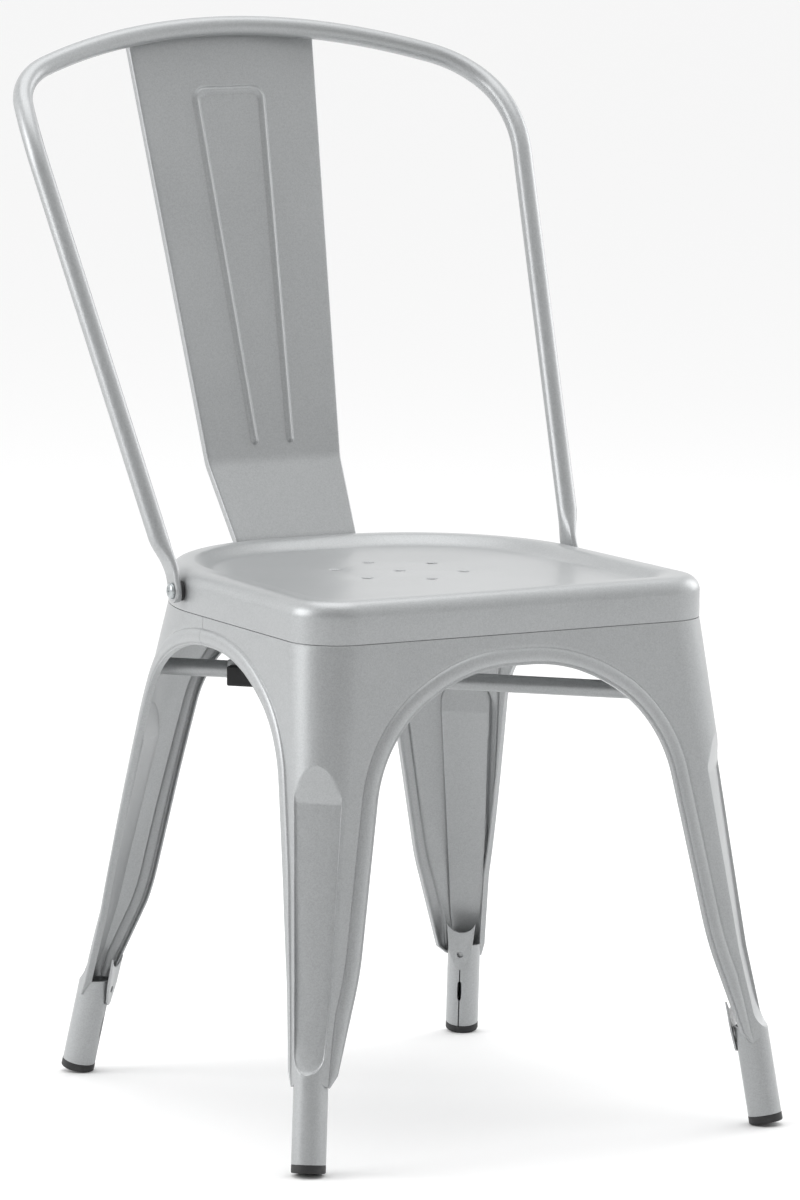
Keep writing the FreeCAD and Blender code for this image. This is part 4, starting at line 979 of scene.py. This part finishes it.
# Back hoop
# One length of steel tube, 16 mm across, bent over the back. Its two ends are pressed flat and
# bolted to the seat's skirt through rubber washers.

HOOP_RADIUS = 8.0
HOOP_LEG_TOP = np.array([223.0, 191.5, 738.0])
HOOP_RAIL_END = np.array([180.0, 269.5, 816.0])
HOOP_RAIL_MIDDLE = np.array([0.0, 299.0, 841.5])
HOOP_END_THICK = 5.0
HOOP_END_WIDTH = 19.0
HOOP_END_LENGTH = 13.0
HOOP_PRESS_LENGTH = 34.0
HOOP_BOLT_Y = 35.0
HOOP_BOLT_Z = 417.5
WASHER_THICK = 3.0
FIT = 0.05
HOOP_SIDES = 56
FLAT_REACH = 1.9


def unit(vector):
    """The vector at length one."""
    return vector / np.linalg.norm(vector)


def arc_run(start, direction, end, count):
    """Points of the arc that leaves a point in a direction and reaches another point."""
    chord = end - start
    side = unit(chord - direction * (chord @ direction))
    radius = (chord @ chord) / (2 * (chord @ side))
    turn = 2 * math.atan2(chord @ side, chord @ direction)
    steps = turn * np.arange(1, count + 1) / count
    return [start + direction * radius * math.sin(s) + side * radius * (1 - math.cos(s)) for s in steps]


rear_centre, rear_radius_seam = LegPlan(True).corner(SEAM_Z)[:2]
bolt_rise = (HOOP_BOLT_Y - rear_centre[1]) / rear_radius_seam
skirt_normal = np.array([math.sqrt(1 - bolt_rise ** 2), bolt_rise, 0.0])
bolt_spot = np.array([rear_centre[0] + skirt_normal[0] * rear_radius_seam, HOOP_BOLT_Y, HOOP_BOLT_Z])
tongue_spot = bolt_spot + skirt_normal * (WASHER_THICK + HOOP_END_THICK / 2 + 2 * FIT)
lean = unit(HOOP_LEG_TOP - tongue_spot)
tongue_way = unit(lean - skirt_normal * (lean @ skirt_normal))
press_top = tongue_spot + lean * (HOOP_END_LENGTH + HOOP_PRESS_LENGTH)
rail_rise = HOOP_RAIL_MIDDLE - HOOP_RAIL_END
lift = np.array([0.0, rail_rise[1], rail_rise[2]])
rail_half = abs(rail_rise[0])
rail_height = np.linalg.norm(lift)
rail_radius = (rail_half ** 2 + rail_height ** 2) / (2 * rail_height)
rail_angle = math.asin(rail_half / rail_radius)
rail_way = np.array([-math.cos(rail_angle), 0, 0]) + unit(lift) * math.sin(rail_angle)
chord = HOOP_RAIL_END - HOOP_LEG_TOP
bend = 2 * (1 - lean @ rail_way)
pull = chord @ (lean + rail_way)
reach = (math.sqrt(pull ** 2 + bend * (chord @ chord)) - pull) / bend
joint = (HOOP_LEG_TOP + lean * reach + HOOP_RAIL_END - rail_way * reach) / 2

hoop_points = []
flat_top = tongue_spot + tongue_way * HOOP_END_LENGTH
for step in np.linspace(0, 1, 40):
    reach = -HOOP_END_WIDTH / 2 + (HOOP_END_WIDTH / 2 + HOOP_END_LENGTH) * step
    hoop_points.append(tongue_spot + tongue_way * reach)
press_run = np.linalg.norm(press_top - flat_top)
for step in np.linspace(0, 1, 49)[1:]:
    h0, h1 = 2 * step ** 3 - 3 * step ** 2 + 1, -2 * step ** 3 + 3 * step ** 2
    t0, t1 = step ** 3 - 2 * step ** 2 + step, step ** 3 - step ** 2
    hoop_points.append(flat_top * h0 + press_top * h1 + (tongue_way * t0 + lean * t1) * press_run)
for step in np.linspace(0, 1, 31)[1:]:
    hoop_points.append(press_top + (HOOP_LEG_TOP - press_top) * step)
hoop_points += arc_run(HOOP_LEG_TOP, lean, joint, 32)
hoop_points += arc_run(HOOP_RAIL_END, -rail_way, joint, 32)[:-1][::-1]
hoop_points.append(HOOP_RAIL_END)
hoop_points += arc_run(HOOP_RAIL_END, rail_way, HOOP_RAIL_MIDDLE, 40)
mirror_x = np.array([-1.0, 1.0, 1.0])
hoop_points += [point * mirror_x for point in hoop_points[:-1][::-1]]


def pressed_tube_tree():
    """Tree that carries a tube along a path and presses its two ends flat and round."""
    tree, given, result = new_tree("tube_with_pressed_ends", [
        ("Radius", "NodeSocketFloat"), ("Sides", "NodeSocketInt"), ("Flat Thickness", "NodeSocketFloat"),
        ("Flat Width", "NodeSocketFloat"), ("Flat Length", "NodeSocketFloat"),
        ("Press Length", "NodeSocketFloat"), ("Flat Side", "NodeSocketVector"),
        ("Finish", "NodeSocketMaterial")])

    def maths(kind, a, b=0.0, c=0.0):
        node = add_node(tree, "ShaderNodeMath", {"operation": kind})
        for index, value in enumerate((a, b, c)):
            if isinstance(value, (int, float)):
                node.inputs[index].default_value = value
            else:
                tree.links.new(value, node.inputs[index])
        return node.outputs[0]

    def vectors(kind, a, b=None, scale=None):
        node = add_node(tree, "ShaderNodeVectorMath", {"operation": kind})
        tree.links.new(a, node.inputs[0])
        if b is not None:
            tree.links.new(b, node.inputs[1])
        if scale is not None:
            tree.links.new(scale, node.inputs["Scale"])
        return node.outputs["Value"] if kind in ("DOT_PRODUCT", "LENGTH") else node.outputs["Vector"]

    path = add_node(tree, "GeometryNodeMeshToCurve", links={"Mesh": given.outputs["Geometry"]})
    spot = add_node(tree, "GeometryNodeInputPosition")
    along = add_node(tree, "GeometryNodeSplineParameter")
    whole = add_node(tree, "GeometryNodeSplineLength")
    from_end = maths("MINIMUM", along.outputs["Length"],
                     maths("SUBTRACT", whole.outputs["Length"], along.outputs["Length"]))
    tangent = add_node(tree, "GeometryNodeInputTangent")
    kept = tree.nodes.new("GeometryNodeCaptureAttribute")
    kept.domain = "POINT"
    kept.capture_items.new("VECTOR", "Centre")
    kept.capture_items.new("VECTOR", "Way")
    kept.capture_items.new("FLOAT", "From End")
    tree.links.new(path.outputs["Curve"], kept.inputs["Geometry"])
    tree.links.new(spot.outputs["Position"], kept.inputs["Centre"])
    tree.links.new(tangent.outputs["Tangent"], kept.inputs["Way"])
    tree.links.new(from_end, kept.inputs["From End"])
    ring = add_node(tree, "GeometryNodeCurvePrimitiveCircle",
                    links={"Resolution": given.outputs["Sides"], "Radius": given.outputs["Radius"]})
    tube = add_node(tree, "GeometryNodeCurveToMesh", {"Fill Caps": True},
                    {"Curve": kept.outputs["Geometry"], "Profile Curve": ring.outputs["Curve"]})
    parts = add_node(tree, "ShaderNodeSeparateXYZ", links={0: kept.outputs["Centre"]})
    side_sign = maths("SIGN", parts.outputs["X"])
    facing = add_node(tree, "ShaderNodeSeparateXYZ", links={0: given.outputs["Flat Side"]})
    flipped = add_node(tree, "ShaderNodeCombineXYZ", links={
        "X": maths("MULTIPLY", facing.outputs["X"], side_sign),
        "Y": facing.outputs["Y"], "Z": facing.outputs["Z"]})
    lean_part = vectors("SCALE", kept.outputs["Way"],
                        scale=vectors("DOT_PRODUCT", flipped.outputs[0], kept.outputs["Way"]))
    flat_way = vectors("NORMALIZE", vectors("SUBTRACT", flipped.outputs[0], lean_part))
    offset = vectors("SUBTRACT", spot.outputs["Position"], kept.outputs["Centre"])
    high = vectors("DOT_PRODUCT", offset, flat_way)
    side_part = vectors("SUBTRACT", offset, vectors("SCALE", flat_way, scale=high))
    pressed = add_node(tree, "ShaderNodeMapRange",
                       {"interpolation_type": "SMOOTHSTEP", "To Min": 1.0, "To Max": 0.0},
                       {"Value": kept.outputs["From End"]})
    start = maths("ADD", given.outputs["Flat Length"], maths("DIVIDE", given.outputs["Flat Width"], 2.0))
    tree.links.new(start, pressed.inputs["From Min"])
    tree.links.new(maths("ADD", start, given.outputs["Press Length"]), pressed.inputs["From Max"])
    half_thick = maths("DIVIDE", given.outputs["Flat Thickness"], 2.0)
    steep = maths("DIVIDE", maths("MULTIPLY", half_thick, FLAT_REACH), given.outputs["Radius"])
    flat_high = maths("MAXIMUM", maths("MINIMUM", maths("MULTIPLY", high, steep), half_thick),
                      maths("MULTIPLY", half_thick, -1.0))
    new_high = maths("ADD", high, maths("MULTIPLY", pressed.outputs[0], maths("SUBTRACT", flat_high, high)))
    half_width = maths("DIVIDE", given.outputs["Flat Width"], 2.0)
    widen = maths("SUBTRACT", maths("DIVIDE", half_width, given.outputs["Radius"]), 1.0)
    wide = maths("ADD", 1.0, maths("MULTIPLY", pressed.outputs[0], widen))
    run = maths("MINIMUM", maths("DIVIDE", kept.outputs["From End"], half_width), 1.0)
    short = maths("SUBTRACT", 1.0, run)
    tip = maths("SQRT", maths("MAXIMUM", maths("SUBTRACT", 1.0, maths("MULTIPLY", short, short)), 0.0))
    moved = vectors("ADD", vectors("SCALE", side_part, scale=maths("MULTIPLY", wide, tip)),
                    vectors("SCALE", flat_way, scale=new_high))
    placed = add_node(tree, "GeometryNodeSetPosition", links={
        "Geometry": tube.outputs["Mesh"], "Position": vectors("ADD", kept.outputs["Centre"], moved)})
    real = add_node(tree, "GeometryNodeRealizeInstances", links={"Geometry": placed.outputs["Geometry"]})
    coat = add_node(tree, "GeometryNodeSetMaterial",
                    links={"Geometry": real.outputs["Geometry"], "Material": given.outputs["Finish"]})
    tree.links.new(coat.outputs["Geometry"], result.inputs["Geometry"])
    return tree


hoop_edges = [(i, i + 1) for i in range(len(hoop_points) - 1)]
hoop = grown("back_hoop_tube", hoop_points, hoop_edges, pressed_tube_tree(), {
    "Radius": HOOP_RADIUS * MM, "Sides": HOOP_SIDES, "Flat Thickness": HOOP_END_THICK * MM,
    "Flat Width": HOOP_END_WIDTH * MM, "Flat Length": HOOP_END_LENGTH * MM,
    "Press Length": HOOP_PRESS_LENGTH * MM, "Flat Side": tuple(skirt_normal), "Finish": silver})
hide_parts("back_hoop")
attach(hoop, "root")

# Screws and nuts
# M6 pan-head screws with a cross recess, and hexagon nuts inside the skirt. Cold-headed steel
# with bright zinc plate, which the eye reads as a cool, slightly blue grey metal.

SCREW_RADIUS = 3.0
HEAD_RADIUS = 6.5
HEAD_HEIGHT = 3.6
CROSS_WIDTH = 1.5
CROSS_REACH = 3.3
CROSS_DEPTH = 2.2
CROSS_LOW_REACH = 0.45
CROSS_LOW_WIDTH = 0.6
CROSS_TOP_REACH = 1.15
HEAD_EDGE = 0.9
HEAD_FULLNESS = 0.62
TURN_SIDES = 48
ZINC_MM = 2.2
NUT_EDGE_ROUND = 0.3
SCREW_LENGTH = {"hoop": 17.5, "splat": 11.0}
ZINC_DARK = "8F9496"
ZINC_LIGHT = "C3C7C8"
SEAM_REAR_Y = 168.0
SPLAT_SCREW_X = 28.0
SPLAT_SCREW_Z = 416.0


def zinc_plate():
    """Bright zinc over steel, a little uneven in colour and gloss."""
    material, tree, shader = new_finish("bright_zinc_plate", {"Metallic": 1.0, "Roughness": 0.3})
    place = add_node(tree, "ShaderNodeTexCoord").outputs["Object"]
    bloom = add_node(tree, "ShaderNodeTexNoise", {"Scale": 1 / (ZINC_MM * MM), "Detail": 4.0},
                     {"Vector": place})
    tint = add_node(tree, "ShaderNodeMix", {"data_type": "RGBA"}, {0: bloom.outputs["Fac"]})
    tint.inputs[6].default_value = from_hex(ZINC_DARK)
    tint.inputs[7].default_value = from_hex(ZINC_LIGHT)
    tree.links.new(tint.outputs[2], shader.inputs["Base Color"])
    rough = add_node(tree, "ShaderNodeMapRange", {"To Min": 0.2, "To Max": 0.42},
                     {"Value": bloom.outputs["Fac"]})
    tree.links.new(rough.outputs[0], shader.inputs["Roughness"])
    bump = add_node(tree, "ShaderNodeBump", {"Strength": 0.1, "Distance": 0.05 * MM},
                    {"Height": bloom.outputs["Fac"]})
    tree.links.new(bump.outputs[0], shader.inputs["Normal"])
    return material


zinc = zinc_plate()


def screw_template(name, shank):
    """Pan-head screw that points down its own Z, its seat at the origin."""
    profile = [(0.0, -shank), (SCREW_RADIUS - 0.6, -shank), (SCREW_RADIUS, -shank + 0.6),
               (SCREW_RADIUS, 0.0), (HEAD_RADIUS - 0.25, 0.0), (HEAD_RADIUS, 0.25)]
    for quarter in np.linspace(0, 1, 12):
        turn = quarter * math.pi / 2
        profile.append((HEAD_RADIUS * math.cos(turn) ** HEAD_FULLNESS,
                        HEAD_EDGE + (HEAD_HEIGHT - HEAD_EDGE) * math.sin(turn)))
    profile[-1] = (0.0, HEAD_HEIGHT)
    circle = [2 * math.pi * k / TURN_SIDES for k in range(TURN_SIDES)]
    shape = bmesh.new()
    rings = []
    for radius, height in profile:
        if radius == 0.0:
            rings.append([shape.verts.new((0, 0, height * MM))])
            continue
        rings.append([shape.verts.new((radius * math.cos(a) * MM, radius * math.sin(a) * MM, height * MM))
                      for a in circle])
    for lower, upper in zip(rings, rings[1:]):
        for k in range(TURN_SIDES):
            after = (k + 1) % TURN_SIDES
            corners = [lower[k % len(lower)], lower[after % len(lower)],
                       upper[after % len(upper)], upper[k % len(upper)]]
            shape.faces.new(list(dict.fromkeys(corners)))
    bmesh.ops.recalc_face_normals(shape, faces=shape.faces)
    mesh = bpy.data.meshes.new(name)
    shape.to_mesh(mesh)
    shape.free()
    return mesh


def cross_cutter(name):
    """Tapered cross that the driver's recess is cut with."""
    shape = bmesh.new()
    top = HEAD_HEIGHT + 1.0
    for turn in (0, 1):
        rows = []
        low = (HEAD_HEIGHT - CROSS_DEPTH, CROSS_REACH * CROSS_LOW_REACH, CROSS_WIDTH * CROSS_LOW_WIDTH)
        for height, reach, width in (low, (top, CROSS_REACH * CROSS_TOP_REACH, CROSS_WIDTH)):
            corners = [(-reach, -width / 2), (reach, -width / 2), (reach, width / 2), (-reach, width / 2)]
            if turn:
                corners = [(-y, x) for x, y in corners]
            rows.append([shape.verts.new((x * MM, y * MM, height * MM)) for x, y in corners])
        shape.faces.new(rows[0][::-1])
        shape.faces.new(rows[1])
        for k in range(4):
            shape.faces.new([rows[0][k], rows[0][(k + 1) % 4], rows[1][(k + 1) % 4], rows[1][k]])
    bmesh.ops.recalc_face_normals(shape, faces=shape.faces)
    mesh = bpy.data.meshes.new(name)
    shape.to_mesh(mesh)
    shape.free()
    return mesh


def screw_with_recess(name, shank):
    """Screw object with its cross recess cut and its edges softened."""
    screw = bpy.data.objects.new(name, screw_template(name, shank))
    cutter = bpy.data.objects.new(name + "_cross", cross_cutter(name + "_cross"))
    for item in (screw, cutter):
        bpy.context.scene.collection.objects.link(item)
    cut = screw.modifiers.new("cross", "BOOLEAN")
    cut.operation = "DIFFERENCE"
    cut.solver = "EXACT"
    cut.use_self = True
    cut.object = cutter
    soft = screw.modifiers.new("edge", "BEVEL")
    soft.width = 0.12 * MM
    soft.segments = 2
    soft.limit_method = "ANGLE"
    soft.angle_limit = math.radians(50)
    bake_modifiers(screw)
    bpy.data.objects.remove(cutter)
    return screw


def fastener_tree():
    """Tree that sets one fastener on each point, turned to the point's own direction."""
    tree, given, result = new_tree("fasteners_on_points", [("Fastener", "NodeSocketObject"),
                                                           ("Finish", "NodeSocketMaterial")])
    dots = add_node(tree, "GeometryNodeMeshToPoints", links={"Mesh": given.outputs["Geometry"]})
    model = add_node(tree, "GeometryNodeObjectInfo", links={"Object": given.outputs["Fastener"]})
    facing = add_node(tree, "GeometryNodeInputNamedAttribute", {"data_type": "FLOAT_VECTOR"})
    facing.inputs["Name"].default_value = "facing"
    turn = add_node(tree, "FunctionNodeAlignRotationToVector", {"axis": "Z"},
                    {"Vector": facing.outputs["Attribute"]})
    put = add_node(tree, "GeometryNodeInstanceOnPoints", links={
        "Points": dots.outputs["Points"], "Instance": model.outputs["Geometry"],
        "Rotation": turn.outputs[0]})
    real = add_node(tree, "GeometryNodeRealizeInstances", links={"Geometry": put.outputs["Instances"]})
    coat = add_node(tree, "GeometryNodeSetMaterial",
                    links={"Geometry": real.outputs["Geometry"], "Material": given.outputs["Finish"]})
    tree.links.new(coat.outputs["Geometry"], result.inputs["Geometry"])
    return tree


fasteners_on_points = fastener_tree()


def set_fasteners(name, spots, ways, model, node):
    """One piece of like fasteners, each at its spot and facing its way."""
    mesh = bpy.data.meshes.new(name)
    mesh.from_pydata([tuple(p) for p in in_frame(spots)], [], [])
    facing = mesh.attributes.new("facing", "FLOAT_VECTOR", "POINT")
    for index, way in enumerate(ways):
        facing.data[index].vector = way
    piece = bpy.data.objects.new(name, mesh)
    bpy.context.scene.collection.objects.link(piece)
    run_tree(piece, fasteners_on_points, {"Fastener": model, "Finish": zinc})
    piece.data.set_sharp_from_angle(angle=math.radians(SMOOTH_ANGLE))
    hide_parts(node)
    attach(piece, "root")
    return piece


hoop_screw_model = screw_with_recess("hoop_screw_model", SCREW_LENGTH["hoop"])
splat_screw_model = screw_with_recess("splat_screw_model", SCREW_LENGTH["splat"])
head_seat = bolt_spot + skirt_normal * (WASHER_THICK + HOOP_END_THICK + 4 * FIT)
set_fasteners("hoop_screw_right_set", [head_seat], [skirt_normal], hoop_screw_model, "hoop_screw_right")
set_fasteners("hoop_screw_left_set", [head_seat * mirror_x], [skirt_normal * mirror_x],
              hoop_screw_model, "hoop_screw_left")
splat_seat_y = SEAM_REAR_Y + SHEET + 3 * FIT
splat_screw_spots = [(x, splat_seat_y, SPLAT_SCREW_Z) for x in (-SPLAT_SCREW_X, SPLAT_SCREW_X)]
set_fasteners("splat_screw_set", splat_screw_spots, [(0, 1, 0), (0, 1, 0)], splat_screw_model,
              "splat_screws")
for model in (hoop_screw_model, splat_screw_model):
    bpy.data.objects.remove(model)
for nut in ("hoop_nut_left", "hoop_nut_right", "splat_nuts"):
    softened(nut, zinc, NUT_EDGE_ROUND)

# Back splat
# Plate pressed from the same sheet, its sides turned back, a raised bead in the shape of an
# upturned U on its face, and a foot bent down behind the seat. Welded under the hoop's rail.

SPLAT_TOP_HALF = 86.5
SPLAT_BEND_HALF = 62.0
SPLAT_LOW_HALF = 56.0
SPLAT_TOP = (304.1, 830.0)
SPLAT_BEND = (207.0, 493.0)
SPLAT_FOOT_Z = 432.0
SPLAT_LOW_Z = 406.0
SPLAT_TUCK = 6.0
SPLAT_FOLD = 1.8
SPLAT_FLANGE = 6.0
RIB_HEIGHT = 2.3
RIB_HALF_WIDTH = 3.5
# Middle line of half the bead as (distance from the middle, distance down the plate, round).
RIB_PATH = [(0.0, 42.0, 0), (31.0, 42.0, 9.0), (16.5, 334.7, 0)]
BEND_ROUND = 30.0
FOOT_ROUND = 15.0
RIB_REACH = 5.0
RIB_FULLNESS = 1.25
FOLD_STEPS = 7
SPLAT_SMOOTH_ANGLE = 40

foot_y = SEAM_REAR_Y + 2 * FIT
splat_slope = (SPLAT_TOP[0] - SPLAT_BEND[0]) / (SPLAT_TOP[1] - SPLAT_BEND[1])
rise_z = HOOP_RAIL_MIDDLE[2] + HOOP_RADIUS
side_line, side_normal = arch_curve([
    (SPLAT_TOP[0] + splat_slope * (rise_z - SPLAT_TOP[1]), rise_z, 0), (*SPLAT_BEND, BEND_ROUND),
    (foot_y, SPLAT_FOOT_Z, FOOT_ROUND), (foot_y, SPLAT_LOW_Z, 0)], 1500)
down_z = side_line[::-1, 1]
slant = math.hypot(1.0, splat_slope)


def plate_point(across, height):
    """Point and forward normal of the splat's front face at a height."""
    place_y = np.interp(height, down_z, side_line[::-1, 0])
    normal_y = np.interp(height, down_z, side_normal[::-1, 0])
    normal_z = np.interp(height, down_z, side_normal[::-1, 1])
    normal = unit(np.array([0.0, normal_y, normal_z]))
    if normal[1] > 0:
        normal = -normal
    return np.array([across, place_y, height]), normal


rib_half, _ = arch_curve(RIB_PATH, 700)


def rib_rise(across, height):
    """Height of the pressed bead over the plate."""
    down = (SPLAT_TOP[1] - height) * slant
    gap = np.sqrt(np.min((rib_half[:, 0] - abs(across)) ** 2 + (rib_half[:, 1] - down) ** 2))
    if gap >= RIB_HALF_WIDTH:
        return 0.0
    return RIB_HEIGHT * (1 - (gap / RIB_HALF_WIDTH) ** 2) ** RIB_FULLNESS


def splat_half(height):
    """Half width of the splat at a height."""
    side_z = HOOP_RAIL_MIDDLE[2] - rail_drop(SPLAT_TOP_HALF) - SPLAT_TUCK
    return float(np.interp(height, [SPLAT_FOOT_Z, SPLAT_BEND[1], side_z],
                           [SPLAT_LOW_HALF, SPLAT_BEND_HALF, SPLAT_TOP_HALF]))


def rail_drop(across):
    """How far the rail's middle line falls at a distance from its crown."""
    drop = rail_radius - math.sqrt(rail_radius ** 2 - across ** 2)
    return drop * lift[2] / rail_height


def rib_across(height):
    """Distance of the bead's leg from the middle at a height."""
    down = (SPLAT_TOP[1] - height) * slant
    share = (down - RIB_PATH[1][1]) / (RIB_PATH[2][1] - RIB_PATH[1][1])
    return RIB_PATH[1][0] + (RIB_PATH[2][0] - RIB_PATH[1][0]) * min(max(share, 0.0), 1.0)


rib_steps = np.linspace(-RIB_REACH, RIB_REACH, 25)
bar_z = SPLAT_TOP[1] - RIB_PATH[0][1] / slant
rib_end_z = SPLAT_TOP[1] - RIB_PATH[2][1] / slant
straight_z = bar_z + 8.0
# The top rows follow the rail's curve down to straight_z, and the others lie level.
row_heights = list(np.linspace(straight_z, bar_z - 14.0, 45))[1:]
row_heights += list(np.linspace(bar_z - 17.0, rib_end_z + 6.0, 60))
row_heights += list(np.linspace(rib_end_z + 5.5, rib_end_z - 5.5, 23))
row_heights += list(np.linspace(rib_end_z - 7.0, SPLAT_LOW_Z, 56))
splat_rows = [("top", share) for share in np.linspace(0, 1, 12)]
splat_rows += [("row", height) for height in row_heights]
fold_turns = np.linspace(0, math.pi / 2, FOLD_STEPS)[1:]
flange_shares = (0.25, 0.6, 1.0)
splat_points = []
for kind, value in splat_rows:
    base = straight_z if kind == "top" else value
    half = splat_half(base)
    rib = rib_across(base)
    columns = list(np.linspace(0, rib - RIB_REACH, 9)[:-1]) + list(rib + rib_steps)
    columns += list(np.linspace(rib + RIB_REACH, half - SPLAT_FOLD, 14)[1:])
    columns = [-c for c in columns[::-1]] + columns[1:]
    side = [(half - SPLAT_FOLD + SPLAT_FOLD * math.sin(t), SPLAT_FOLD * (1 - math.cos(t)))
            for t in fold_turns]
    side += [(half, SPLAT_FOLD + (SPLAT_FLANGE - SPLAT_FOLD) * s) for s in flange_shares]
    line_cells = [(-wide, back) for wide, back in side[::-1]]
    line_cells += [(c, 0.0) for c in columns] + side
    line = []
    for wide, back in line_cells:
        if kind == "top":
            crown = HOOP_RAIL_MIDDLE[2] - rail_drop(min(abs(wide), SPLAT_TOP_HALF)) - SPLAT_TUCK
            height = crown + (straight_z - crown) * value
            wide = wide * splat_half(height) / half
        else:
            height = value
        spot, normal = plate_point(wide, height)
        rise = rib_rise(wide, height) if back == 0.0 else 0.0
        line.append(spot - normal * back + normal * rise)
    splat_points += line
splat = new_piece("back_splat_plate", splat_points, grid_faces(len(splat_rows), len(line)), silver)
turned_outwards(splat, tuple(in_frame([(0, 400, 620)])[0]))
thickened(splat)
splat.data.set_sharp_from_angle(angle=math.radians(SPLAT_SMOOTH_ANGLE))
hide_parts("back_splat")
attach(splat, "root")

# Camera
# It stands where the photograph was taken from, a little left of the chair and above its seat.

CAMERA_AZIMUTH = -29.84
CAMERA_HEIGHT_ANGLE = 8.28
CAMERA_ROLL = 0.575
CAMERA_DISTANCE = 6242.5
CAMERA_AIM = (1.51, 1.31, 402.9)
PHOTO_TALL = 1200
FOCAL_PIXELS = 7817.0

azimuth, rise, roll = [math.radians(a) for a in (CAMERA_AZIMUTH, CAMERA_HEIGHT_ANGLE, CAMERA_ROLL)]
back = Vector((math.sin(azimuth) * math.cos(rise), -math.cos(azimuth) * math.cos(rise), math.sin(rise)))
right = Vector((math.cos(azimuth), math.sin(azimuth), 0))
up = back.cross(right)
rolled_right = right * math.cos(roll) + up * math.sin(roll)
rolled_up = up * math.cos(roll) - right * math.sin(roll)
camera_data = bpy.data.cameras.new("camera")
camera_data.sensor_width = 36.0
camera_data.lens = FOCAL_PIXELS / PHOTO_TALL * 36.0
camera_data.clip_end = 100.0
camera = bpy.data.objects.new("camera", camera_data)
bpy.context.scene.collection.objects.link(camera)
aim = Vector(in_frame([CAMERA_AIM])[0])
turned = Matrix((rolled_right, rolled_up, back)).transposed().to_4x4()
camera.matrix_world = Matrix.Translation(aim + back * CAMERA_DISTANCE * MM) @ turned
bpy.context.scene.camera = camera

# Studio
# A flat white floor in a white room that is darker on the camera's side, so faces turned to the camera
# show the paint's own greys and the edges catch the white. Softboxes light it from above and beside.

ROOM_WHITE = 1.15
ROOM_OPEN = 0.5
FLOOR_HALF = 40
FLOOR_WHITE = (0.92, 0.92, 0.92, 1.0)

world = bpy.data.worlds.new("studio")
bpy.context.scene.world = world
world.use_nodes = True
room = world.node_tree
view_way = add_node(room, "ShaderNodeTexCoord")
towards = add_node(room, "ShaderNodeVectorMath", {"operation": "DOT_PRODUCT"},
                   {0: view_way.outputs["Generated"]})
towards.inputs[1].default_value = (math.sin(azimuth), -math.cos(azimuth), 0.0)
open_side = add_node(room, "ShaderNodeMapRange", {
    "interpolation_type": "SMOOTHSTEP", "From Min": 0.05, "From Max": 0.8, "To Min": ROOM_WHITE,
    "To Max": ROOM_OPEN}, {"Value": towards.outputs["Value"]})
room.nodes["Background"].inputs["Color"].default_value = (1.0, 1.0, 1.0, 1.0)
room.links.new(open_side.outputs[0], room.nodes["Background"].inputs["Strength"])
bpy.context.scene.view_settings.view_transform = "Standard"

floor_finish, _, _ = new_finish("paper_sweep", {"Roughness": 0.9, "Base Color": FLOOR_WHITE})
floor_mesh = bpy.data.meshes.new("floor")
floor_corners = [(x * FLOOR_HALF, y * FLOOR_HALF, 0) for x, y in ((-1, -1), (1, -1), (1, 1), (-1, 1))]
floor_mesh.from_pydata(floor_corners, [], [(0, 1, 2, 3)])
floor = bpy.data.objects.new("floor", floor_mesh)
bpy.context.scene.collection.objects.link(floor)
dress(floor, floor_finish)


def softbox(name, place, aim_at, size, power):
    """Square area light that looks at a point."""
    data = bpy.data.lights.new(name, "AREA")
    data.size = size
    data.energy = power
    light = bpy.data.objects.new(name, data)
    bpy.context.scene.collection.objects.link(light)
    light.location = place
    light.rotation_mode = "QUATERNION"
    light.rotation_quaternion = (Vector(aim_at) - Vector(place)).to_track_quat("-Z", "Y")


# Name, place, the point it looks at, width and watts.
softbox("box_left", (-2.8, 0.9, 1.6), (0, 0, 0.45), 1.8, 40)
softbox("box_top", (0.2, 0.4, 3.0), (0, 0, 0.4), 2.2, 24)
softbox("box_right", (2.8, 0.4, 1.4), (0, 0, 0.4), 1.6, 20)
